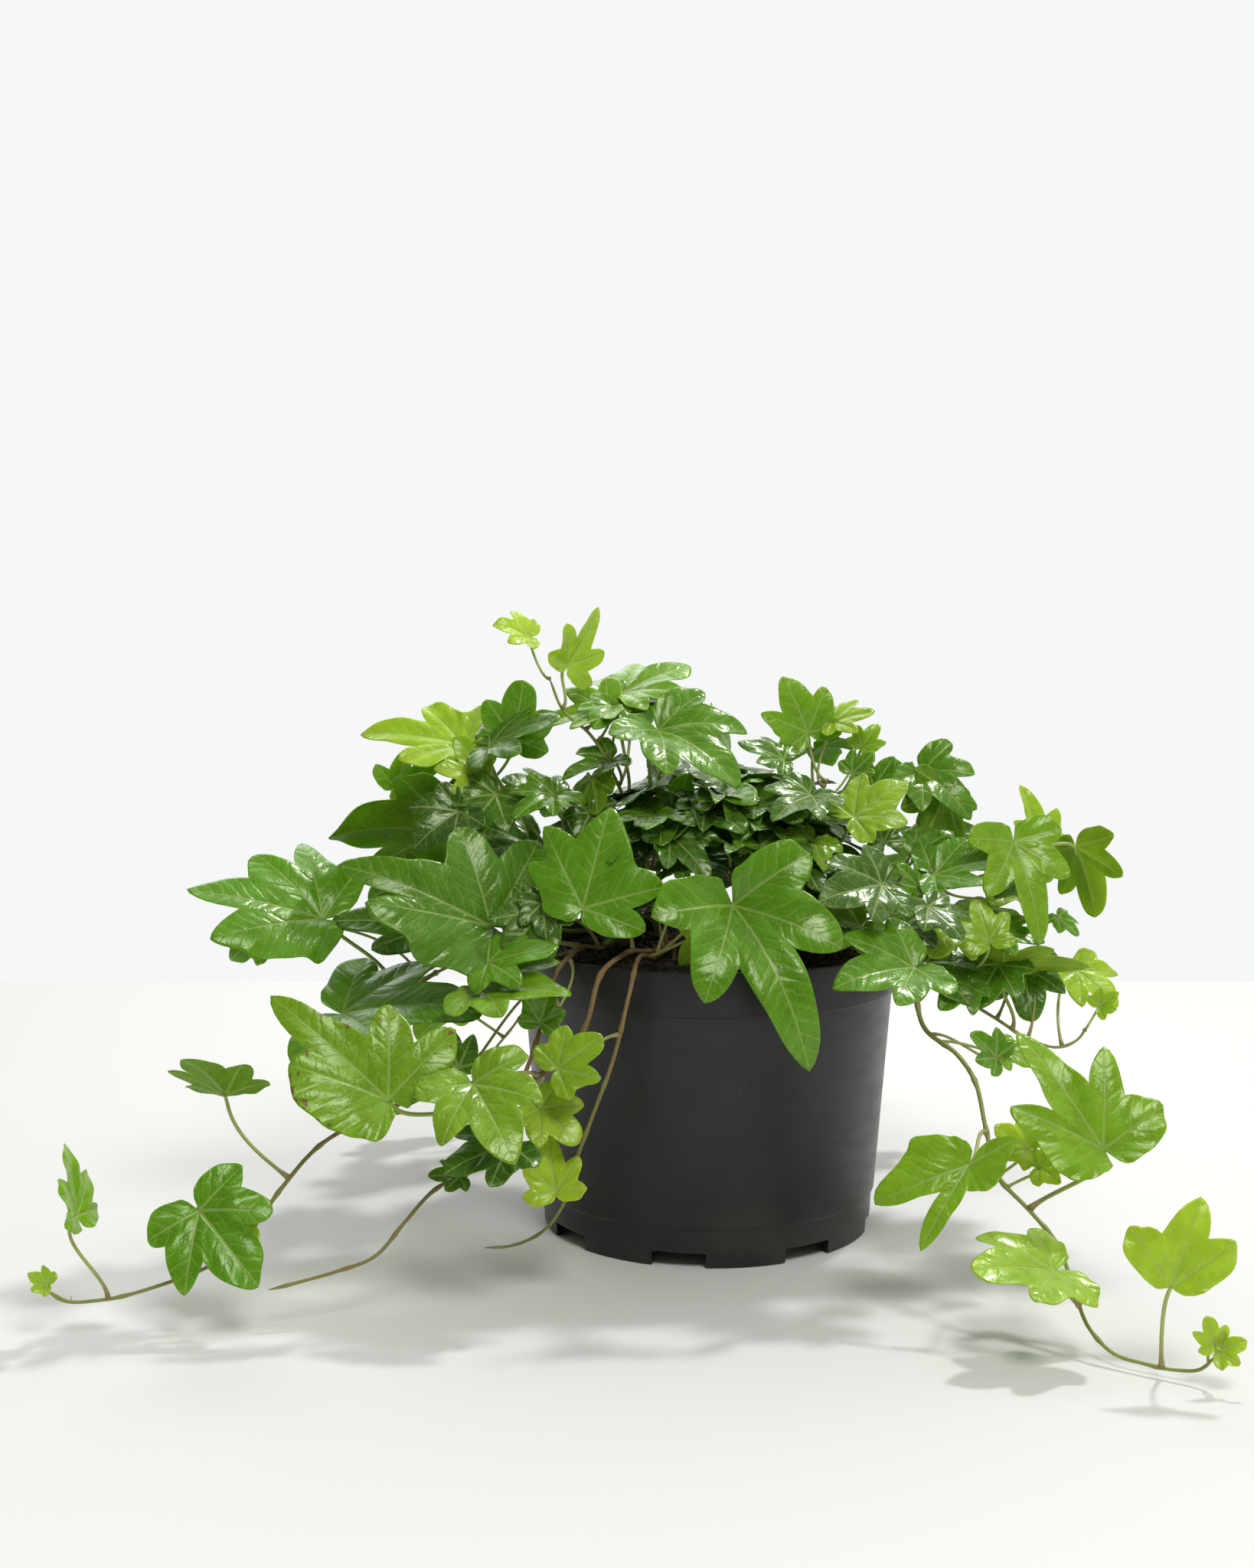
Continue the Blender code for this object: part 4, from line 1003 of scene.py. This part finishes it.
def leaf_parts(number, row, edge_steps=EDGE_STEPS, rings=RINGS):
    """One leaf with its stalk: points in millimetres, faces, their finish, and what its materials read."""
    stem, share, base, run, face, form, arch, tone, scorch = row
    random.seed(number * 17 + 5)
    base = Vector(base)
    run = Vector(run)
    length = run.length
    along = run.normalized()
    turn, lift = math.radians(face[0]), math.radians(face[1])
    look = Vector((math.cos(turn) * math.cos(lift), math.sin(turn) * math.cos(lift), math.sin(lift)))
    up = (look - along * look.dot(along)).normalized()
    side = up.cross(along)

    edge, tips = leaf_outline(form, edge_steps)
    round_edge = np.arctan2(edge[:, 1], edge[:, 0])
    nibble = 0.020 * np.sin(round_edge * 9 + random.uniform(0, 6)) + 0.014 * np.sin(round_edge * 17 + number)
    edge = edge * (1 + nibble)[:, None]
    flat = np.concatenate([np.zeros((1, 2))] + [edge * ring for ring in rings])
    ring_of = np.concatenate([[0.0]] + [np.full(len(edge), ring) for ring in rings])
    away, on = nearest_vein(flat, tips)
    rise = blade_rise(number, arch, flat, ring_of)
    groove = VEIN_GROOVE * np.exp(-away * length / VEIN_REACH) * np.clip(1.15 - ring_of, 0, 1)
    spans = flat * length / CRINKLE_SPAN
    crinkle = np.array([noise.noise((x + number, y, 0.5)) for x, y in spans])
    crinkle *= CRINKLE * (1.0 - 0.6 * tone) * np.clip(ring_of * 4, 0, 1)
    height = rise * length - groove + groove[0] + crinkle
    points = np.array(base) + np.column_stack((flat * length, height)) @ np.array((along, side, up))
    wide = len(edge)
    faces = [(0, j + 1, j + 2) for j in range(wide - 1)]
    for k in range(len(rings) - 1):
        low = 1 + k * wide
        faces += [(low + j, low + j + wide, low + j + wide + 1, low + j + 1) for j in range(wide - 1)]
    depth = LEAF_THICK * (1 - 0.45 * ring_of ** 4) * (0.6 + 0.4 * min(1.0, length / 40))
    points, faces = thickened(points, faces, depth)
    sheet_faces = (len(rings) - 1) * (wide - 1) + wide - 1
    finish = [0] * sheet_faces + [1] * sheet_faces + [0] * (len(faces) - 2 * sheet_faces)
    vein = np.column_stack((away * length, on * length, ring_of))
    flat_place = np.column_stack((flat * length + (number * 37.0, number * 11.0), np.zeros(len(flat))))

    path, radii, reach = stalk_line(stem, share, base, along, up, length)
    stalk_points, stalk_faces = stalk_tube(path, radii, len(points))
    points = np.concatenate([points, np.array(stalk_points)])
    faces = faces + stalk_faces
    finish += [2] * len(stalk_faces)
    stalk_run = np.repeat(np.linspace(0, 1, len(path)), STALK_SIDES)
    stalk_vein = np.column_stack((stalk_run * reach, stalk_run, stalk_run))
    vein = np.concatenate([vein, vein, stalk_vein])
    flat_place = np.concatenate([flat_place, flat_place, np.array(stalk_points)])
    tones = np.tile((tone, random.random(), scorch), (len(points), 1))
    return points, faces, finish, vein, flat_place, tones


def leaf_mesh(name, parts):
    """One mesh of one or more leaves."""
    faces, finish = [], []
    first = 0
    for part in parts:
        faces += [tuple(i + first for i in face) for face in part[1]]
        finish += part[2]
        first += len(part[0])
    points, _, _, vein, flat_place, tones = zip(*parts)
    mesh = bpy.data.meshes.new(name)
    mesh.from_pydata(np.concatenate(points) * MM, [], faces)
    mesh.polygons.foreach_set("material_index", finish)
    for attribute_name, values in (("vein", vein), ("flat_place", flat_place), ("tone", tones)):
        vector_attribute(mesh, attribute_name, np.concatenate(values))
    mesh.shade_smooth()
    return mesh


# Veins: each main one runs from the stalk to a lobe's tip and narrows on the way, side ones leave it aslant,
# and a fine net fills the rest. Places are millimetres on the flat blade.
veins = bpy.data.node_groups.new("leaf_veins", "ShaderNodeTree")
socket(veins, "Vein", "INPUT", "Vector")
socket(veins, "Place", "INPUT", "Vector")
socket(veins, "Width", "INPUT", "Float", 0.8)
socket(veins, "Spacing", "INPUT", "Float", 5.0)
for output in ("Main", "Side", "Net", "Pillow"):
    socket(veins, output, "OUTPUT", "Float")
inlet = node(veins, "NodeGroupInput").outputs
away, along, margin = node(veins, "ShaderNodeSeparateXYZ", {0: inlet["Vein"]}).outputs
sway = times(veins, minus(veins, rippled(veins, inlet["Place"], 0.16, 2), 0.5), 5.0)
narrow = times(veins, inlet["Width"], minus(veins, 1.0, times(veins, margin, 0.62)))
main = ranged(veins, away, times(veins, narrow, 0.45), narrow, 1.0, 0.0)
slant = plus(veins, minus(veins, along, times(veins, away, 0.9)), sway)
turns = maths(veins, "FRACT", maths(veins, "DIVIDE", plus(veins, slant, 200.0), inlet["Spacing"]))
off = times(veins, maths(veins, "ABSOLUTE", minus(veins, turns, 0.5)), inlet["Spacing"])
side = times(veins, ranged(veins, off, 0.10, 0.45, 1.0, 0.0), ranged(veins, away, 3.0, 13.0, 1.0, 0.25))
cells = node(veins, "ShaderNodeTexVoronoi", {"Vector": inlet["Place"], "Scale": 0.62},
             feature="DISTANCE_TO_EDGE").outputs[0]
net = ranged(veins, cells, 0.02, 0.13, 1.0, 0.0)
lift = times(veins, ranged(veins, off, 0.0, 1.6), ranged(veins, cells, 0.0, 0.4, 0.7, 1.0))
node(veins, "NodeGroupOutput", {"Main": main, "Side": side, "Net": net, "Pillow": lift})


def leaf_colour(tree, tone, dark, middle, young):
    """A leaf's own green, from the dark of an old leaf to the yellow-green of a young one."""
    first = mixed(tree, ranged(tree, tone, 0.0, 0.5, way="LINEAR"), dark, middle)
    return mixed(tree, ranged(tree, tone, 0.5, 1.0, way="LINEAR"), first, young)


def attribute(tree, name):
    return node(tree, "ShaderNodeAttribute", attribute_name=name).outputs["Vector"]


def tone_of(tree):
    """A leaf's three values: how young it is, its own chance value and how scorched its edge is."""
    return node(tree, "ShaderNodeSeparateXYZ", {0: attribute(tree, "tone")}).outputs


def vein_lines(tree, spot, width):
    return node(tree, "ShaderNodeGroup", {"Vein": attribute(tree, "vein"), "Place": spot, "Width": width,
                                          "Spacing": 5.2}, node_tree=veins).outputs


def brighter(tree, green, value):
    return node(tree, "ShaderNodeHueSaturation", {"Color": green, "Value": value}).outputs[0]


def veined(tree, green, pale, lines, shares):
    """The blade's green with its pale net, side veins and main veins over it."""
    for line, share in zip(("Net", "Side", "Main"), shares):
        green = mixed(tree, times(tree, lines[line], share), green, pale)
    return green


BLADE = {"Subsurface_Weight": 0.30, "Subsurface_Scale": 0.0016, "Specular_Tint": (0.9, 1.0, 0.6, 1)}
leaf_upper, tree, shader = new_material("leaf_upper", Subsurface_Radius=(0.7, 1.0, 0.1), Coat_Roughness=0.13,
                                        Specular_IOR_Level=0.45, **BLADE)
tones = tone_of(tree)
spot = attribute(tree, "flat_place")
lines = vein_lines(tree, spot, 0.85)
green = leaf_colour(tree, tones[0], (0.020, 0.074, 0.007, 1), (0.098, 0.270, 0.001, 1),
                    (0.46, 0.65, 0.030, 1))
mottle = rippled(tree, spot, 0.11, 4, Roughness=0.6)
shift = plus(tree, ranged(tree, mottle, 0.3, 0.7, -0.12, 0.12), times(tree, minus(tree, tones[1], 0.5), 0.25))
green = brighter(tree, green, plus(tree, 1.0, shift))
green = veined(tree, green, mixed(tree, 0.55, green, (0.42, 0.52, 0.16, 1)), lines, (0.16, 0.45, 0.85))
margin = node(tree, "ShaderNodeSeparateXYZ", {0: attribute(tree, "vein")}).outputs[2]
burnt = ranged(tree, plus(tree, times(tree, margin, 0.62), rippled(tree, spot, 0.30, 3)), 1.17, 1.24)
green = mixed(tree, times(tree, burnt, tones[2]), green, (0.17, 0.085, 0.03, 1))
tree.links.new(green, shader.inputs["Base Color"])
rough = plus(tree, ranged(tree, mottle, 0.3, 0.75, 0.22, 0.36), times(tree, lines["Main"], 0.12))
tree.links.new(rough, shader.inputs["Roughness"])
tree.links.new(ranged(tree, tones[0], 0.0, 1.0, 0.28, 0.10, "LINEAR"), shader.inputs["Coat Weight"])
relief = minus(tree, times(tree, lines["Pillow"], 0.6), times(tree, lines["Main"], 0.7))
bumped(tree, shader, relief, 0.6, 0.0004)

leaf_under, tree, shader = new_material("leaf_under", Subsurface_Radius=(0.7, 1.0, 0.15),
                                        Specular_IOR_Level=0.22, **BLADE)
spot = attribute(tree, "flat_place")
lines = vein_lines(tree, spot, 1.15)
green = leaf_colour(tree, tone_of(tree)[0], (0.060, 0.140, 0.006, 1), (0.12, 0.25, 0.002, 1),
                    (0.36, 0.50, 0.03, 1))
mottle = rippled(tree, spot, 0.14, 4)
green = brighter(tree, green, ranged(tree, mottle, 0.3, 0.7, 0.88, 1.1))
green = veined(tree, green, mixed(tree, 0.45, green, (0.42, 0.52, 0.13, 1)), lines, (0.25, 0.5, 0.9))
tree.links.new(green, shader.inputs["Base Color"])
tree.links.new(ranged(tree, mottle, 0.3, 0.7, 0.5, 0.62), shader.inputs["Roughness"])
bumped(tree, shader, plus(tree, lines["Main"], times(tree, lines["Side"], 0.5)), 0.6, 0.0004)

leaf_stalk, tree, shader = new_material("leaf_stalk", Roughness=0.45, Subsurface_Weight=0.2,
                                        Subsurface_Scale=0.001, Subsurface_Radius=(0.8, 1.0, 0.2))
along = node(tree, "ShaderNodeSeparateXYZ", {0: attribute(tree, "vein")}).outputs[1]
streaks = rippled(tree, object_place(tree), 500.0, 3)
green = mixed(tree, tone_of(tree)[0], (0.28, 0.35, 0.08, 1), (0.48, 0.57, 0.16, 1))
green = mixed(tree, ranged(tree, along, 0.55, 1.0), green, (0.30, 0.235, 0.085, 1))
green = mixed(tree, ranged(tree, streaks, 0.4, 0.7, 0.0, 0.4), green, (0.46, 0.47, 0.20, 1))
tree.links.new(green, shader.inputs["Base Color"])
bumped(tree, shader, streaks, 0.3, 0.0002)
LEAF_FINISH = [leaf_upper, leaf_under, leaf_stalk]

for number, (name, row) in enumerate(LEAVES.items()):
    parts = leaf_parts(number, (*row, SCORCHED.get(name, 0.0)))
    piece(name.replace("leaf", "ivy_leaf"), leaf_mesh(name, [parts]), LEAF_FINISH, "leaves", name)


# The small leaves: buds, half-grown leaves and those deeper in the crown, grouped by the part of the plant
# that they fill. Each grows from a stem as the large ones do, and the rows are as in LEAVES.
SMALL_LEAVES = {
    "small_leaves_upper_left": [
        ("stem_left_mid", 0.80, (-171, -30, 120), (-13, 2, -12), (-100, 20), "young", 0.2, 0.5),
        ("stem_left_mid", 0.70, (-109, -20, 119), (-37, -6, 4), (-90, 60), "five", 0.2, 0.15),
        ("stem_left_mid", 0.60, (-116, -5, 136), (-18, -5, -8), (-90, 50), "young", 0.3, 0.2),
        ("stem_upper_left", 0.70, (-124, 5, 172), (22, 2, 14), (-60, 10), "long", 0.1, 0.6),
        ("stem_upper_left", 0.90, (-85, -15, 190), (29, -10, 11), (-90, 60), "five", 0.2, 0.3),
        ("stem_upper_left", 0.95, (-91, -12, 182), (-8, 2, 12), (-90, 30), "young", 0.2, 0.7),
        ("stem_upper_left", 0.85, (-89, -18, 178), (-17, -4, 4), (-90, 50), "young", 0.2, 0.8),
        ("stem_left_mid", 0.50, (-96, -30, 166), (-17, -8, -14), (-90, 40), "young", 0.3, 0.1),
        ("stem_left_mid", 0.40, (-70, 0, 150), (-26, -10, -6), (-100, 55), "five", 0.3, 0.1),
        ("stem_upper_left", 0.50, (-60, 2, 168), (-22, -8, 8), (-95, 55), "five", 0.3, 0.25),
    ],
    "small_leaves_top": [
        ("stem_top", 1.00, (-70, -14, 232), (-14, -4, 5), (-80, 50), "young", 0.2, 0.9),
        ("stem_top", 0.70, (-32, 0, 207), (22, 8, 0), (-90, 55), "young", 0.2, 0.4),
        ("stem_top", 0.75, (-38, -8, 205), (-7, -14, -9), (-90, 50), "young", 0.3, 0.5),
        ("stem_top", 0.80, (-39, -8, 204), (-32, 3, -9), (-90, 60), "long", 0.2, 0.6),
        ("stem_top", 0.50, (0, -5, 198), (9, 8, -11), (-40, 30), "young", 0.4, 0.4),
        ("stem_top", 0.50, (-46, -18, 178), (2, -12, -14), (80, 30), "five", 0.3, 0.5),
        ("stem_top", 0.60, (-38, -15, 185), (-20, -10, -8), (-80, 60), "long", 0.2, 0.3),
        ("stem_top", 0.35, (-46, -25, 165), (8, -12, -14), (-90, 45), "five", 0.3, 0.1),
        ("stem_left_short", 0.10, (-63, -60, 135), (2, -9, -13), (-90, 40), "young", 0.3, 0.1),
        ("stem_front", 0.12, (-19, -25, 158), (6, 8, 12), (-90, 45), "young", 0.2, 0.4),
        ("stem_right_top", 0.40, (-14, -20, 166), (6, 4, 14), (-80, 20), "young", 0.2, 0.5),
        ("stem_front", 0.22, (-1, -62, 123), (-4, -10, -24), (100, 30), "long", 0.3, 0.7),
        ("stem_top", 0.30, (-20, 2, 176), (24, 4, -6), (-95, 60), "five", 0.3, 0.1),
    ],
    "small_leaves_right": [
        ("stem_right_top", 0.95, (50, 5, 198), (16, -5, 4), (-80, 55), "young", 0.2, 0.8),
        ("stem_right_top", 0.80, (56, -10, 179), (9, 0, 8), (-90, 40), "young", 0.2, 0.4),
        ("stem_right_top", 0.70, (65, -5, 173), (8, 0, 12), (-90, 30), "young", 0.2, 0.4),
        ("stem_right_up", 0.35, (78, 5, 173), (-6, 0, 11), (-90, 30), "young", 0.2, 0.5),
        ("stem_right_top", 0.90, (62, 10, 188), (7, 2, 9), (-80, 40), "young", 0.2, 0.7),
        ("stem_right_up", 0.50, (95, 0, 172), (-11, -10, -24), (90, 30), "five", 0.3, 0.4),
        ("stem_right_up", 0.30, (67, -20, 153), (-4, 5, 12), (-90, 50), "young", 0.2, 0.2),
        ("stem_right_up", 0.45, (80, -15, 147), (16, 8, 9), (-90, 50), "young", 0.2, 0.3),
        ("stem_right_up", 0.40, (80, -25, 136), (-9, 0, 9), (-90, 50), "young", 0.2, 0.5),
        ("stem_right_long", 0.15, (73, -35, 122), (11, -12, -6), (-70, 45), "young", 0.3, 0.1),
        ("stem_right_long", 0.10, (55, -50, 125), (-18, -12, -8), (-95, 50), "young", 0.3, 0.6),
        ("stem_right_long", 0.06, (33, -40, 147), (-12, -20, -13), (-95, 45), "five", 0.3, 0.1),
        ("stem_right_top", 0.30, (38, -35, 155), (-13, -15, -8), (-95, 45), "young", 0.3, 0.6),
        ("stem_right_top", 0.50, (46, 0, 160), (24, -8, 4), (-80, 60), "five", 0.3, 0.1),
    ],
    "small_leaves_far_right": [
        ("stem_right_up", 0.80, (120, -10, 143), (-14, -15, -12), (-90, 50), "five", 0.3, 0.4),
        ("stem_right_low", 0.60, (109, -30, 120), (18, -5, -4), (-90, 55), "young", 0.2, 0.5),
        ("stem_right_up", 0.70, (119, -15, 134), (-13, -14, -5), (-90, 50), "young", 0.3, 0.75),
        ("stem_right_low", 0.80, (137, -10, 122), (7, -5, -7), (-60, 40), "young", 0.2, 0.4),
        ("stem_right_low", 0.70, (123, -10, 103), (2, -12, -21), (-90, 40), "young", 0.3, 0.15),
        ("stem_right_low", 0.60, (111, -25, 106), (-12, -14, -15), (-95, 40), "young", 0.3, 0.3),
        ("stem_right_low", 0.30, (83, -25, 107), (14, -20, -13), (-90, 45), "young", 0.3, 0.2),
        ("stem_right_low", 0.25, (81, -20, 105), (-6, -10, -11), (-90, 45), "young", 0.3, 0.7),
        ("stem_right_low", 0.45, (97, -35, 99), (-12, -10, -7), (-95, 50), "young", 0.3, 0.3),
        ("stem_right_low", 0.40, (95, -25, 121), (-13, -15, -10), (-95, 50), "young", 0.3, 0.85),
        ("stem_right_long", 0.36, (102, -70, 80), (-10, -2, 10), (-90, 40), "young", 0.2, 0.4),
        ("stem_right_long", 0.38, (105, -65, 82), (10, -5, -6), (-80, 50), "young", 0.2, 0.6),
        ("stem_right_low", 0.90, (146, -5, 100), (14, -10, -12), (-80, 40), "young", 0.2, 0.9),
        ("stem_right_low", 0.98, (150, -26, 90), (7, -2, 6), (-70, 40), "young", 0.2, 0.8),
    ],
    "small_leaves_low_left": [
        ("stem_left_short", 0.50, (-91, -94, 43), (-11, -4, 1), (-90, 50), "young", 0.3, 0.2),
        ("stem_left_short", 0.36, (-63, -90, 66), (15, -8, -11), (-90, 45), "young", 0.3, 0.85),
        ("stem_left_short", 0.28, (-63, -80, 95), (4, 2, 13), (-90, 30), "young", 0.2, 0.4),
        ("stem_left_short", 0.22, (-82, -70, 115), (27, -8, 6), (-90, 55), "five", 0.2, 0.5),
        ("stem_left_short", 0.16, (-63, -60, 132), (-13, -10, -17), (-90, 45), "young", 0.3, 0.2),
    ],
    "small_leaves_trailing": [
        ("stem_left_long", 0.78, (-164, -122, 31), (-2, 4, 14), (-90, 30), "young", 0.2, 0.95),
        ("stem_left_long", 1.00, (-224, -136, 19), (-6, -2, 4), (-90, 40), "young", 0.2, 0.8),
        ("stem_right_long", 0.60, (106, -105, 56), (-12, 0, 8), (-90, 40), "young", 0.2, 0.9),
        ("stem_right_long", 0.62, (110, -108, 50), (12, -4, 4), (-90, 45), "young", 0.2, 0.9),
        ("stem_right_long", 0.99, (150, -177, 14), (-2, 2, 9), (-90, 30), "young", 0.2, 0.9),
        ("stem_right_long", 1.00, (151, -178, 12), (9, -1, 4), (-80, 40), "young", 0.2, 0.9),
    ],
    "small_leaves_back": [
        ("stem_back_left", 0.30, (-40, 40, 150), (-24, 28, -10), (110, 55), "five", 0.3, 0.3),
        ("stem_back_left", 0.25, (-10, 48, 160), (4, 34, -10), (90, 55), "five", 0.3, 0.4),
        ("stem_back_right", 0.25, (24, 42, 160), (22, 28, -10), (80, 55), "maple", 0.3, 0.35),
        ("stem_right_up", 0.20, (50, 36, 154), (26, 22, -8), (70, 60), "five", 0.3, 0.3),
        ("stem_upper_left", 0.40, (-60, 34, 162), (-30, 18, -8), (120, 60), "five", 0.3, 0.4),
        ("stem_left_mid", 0.30, (-84, 38, 142), (-30, 20, -14), (130, 55), "five", 0.3, 0.3),
        ("stem_right_up", 0.60, (90, 34, 150), (28, 22, -12), (60, 55), "five", 0.3, 0.45),
        ("stem_back_left", 0.72, (-62, 104, 92), (18, 22, -14), (90, 45), "young", 0.3, 0.4),
        ("stem_back_left", 0.90, (-108, 112, 62), (-22, 12, -18), (120, 40), "young", 0.3, 0.6),
        ("stem_back_left", 1.00, (-102, 120, 38), (-12, 8, -6), (120, 40), "young", 0.3, 0.9),
        ("stem_back_right", 0.90, (94, 104, 92), (22, 12, -16), (60, 45), "young", 0.3, 0.6),
        ("stem_back_right", 1.00, (86, 116, 72), (10, 8, -6), (60, 40), "young", 0.3, 0.9),
        ("stem_top", 0.60, (-30, 20, 200), (6, 22, -6), (90, 60), "five", 0.3, 0.5),
        ("stem_right_top", 0.90, (44, 22, 186), (10, 22, -8), (85, 60), "young", 0.3, 0.5),
        ("stem_upper_left", 0.90, (-92, 24, 184), (-16, 20, -8), (110, 60), "young", 0.3, 0.6),
        ("stem_right_up", 0.90, (124, 24, 142), (20, 18, -14), (60, 50), "young", 0.3, 0.6),
        ("stem_back_right", 0.10, (36, 60, 134), (20, 26, -16), (80, 45), "five", 0.3, 0.2),
        ("stem_back_left", 0.10, (-34, 62, 134), (-18, 26, -16), (100, 45), "five", 0.3, 0.2),
        ("stem_left_mid", 0.45, (-100, 20, 128), (-30, 22, -14), (130, 45), "five", 0.3, 0.35),
        ("stem_right_low", 0.35, (100, 16, 118), (28, 20, -14), (50, 45), "five", 0.3, 0.3),
    ],
}


CROWN_LOW = 121
CROWN_HIGH = 174
CROWN_REACH = 74
CROWN_SHARES = (0.35, 0.92)
CROWN_LENGTHS = (20, 33)
CROWN_LIFTS = (38, 72)
CROWN_TONES = (0.05, 0.35)
# The hollow low in front, where the stems show, stays clear
HOLLOW_FRONT = -30
HOLLOW_MIDDLE = -12
HOLLOW_HALF = 36
HOLLOW_TOP = 138


def crown_leaves(count, seed, middle, spread):
    """Rows for dark leaves that sprout at random from the nearest stem and close the heart of the crown."""
    random.seed(seed)
    rows = []
    while len(rows) < count:
        turn = math.radians(middle + random.uniform(-spread, spread))
        rise = random.random()
        reach = CROWN_REACH * math.sqrt(1 - 0.85 * rise * rise) * random.uniform(*CROWN_SHARES)
        high = CROWN_LOW + (CROWN_HIGH - CROWN_LOW) * rise
        place = Vector((reach * math.cos(turn), reach * math.sin(turn), high))
        if place.y < HOLLOW_FRONT and abs(place.x - HOLLOW_MIDDLE) < HOLLOW_HALF and high < HOLLOW_TOP:
            continue
        best = None
        for name, path in STEM_PATHS.items():
            for k in range(len(path) // 6, len(path)):
                gap = (path[k] - place).length
                if path[k].z < place.z and (best is None or gap < best[0]):
                    best = (gap, name, k / (len(path) - 1))
        out = turn + random.uniform(-0.6, 0.6)
        run = Vector((math.cos(out), math.sin(out), random.uniform(-0.55, 0.25)))
        run *= random.uniform(*CROWN_LENGTHS)
        face = (math.degrees(turn) + random.uniform(-25, 25), random.uniform(*CROWN_LIFTS))
        form = random.choice(("young", "five", "five", "long"))
        rows.append((best[1], best[2], place, run, face, form, 0.3, random.uniform(*CROWN_TONES)))
    return rows


SMALL_LEAVES["crown_leaves_front"] = crown_leaves(40, 71, -90, 95)
SMALL_LEAVES["crown_leaves_back"] = crown_leaves(30, 72, 90, 95)
SMALL_EDGE_STEPS = 4
SMALL_RINGS = (0.07, 0.19, 0.34, 0.50, 0.66, 0.80, 0.92, 1.0)
number = len(LEAVES)
for name, rows in SMALL_LEAVES.items():
    parts = []
    for row in rows:
        parts.append(leaf_parts(number, (*row, 0.0), SMALL_EDGE_STEPS, SMALL_RINGS))
        number += 1
    piece(name, leaf_mesh(name, parts), LEAF_FINISH, "leaves")
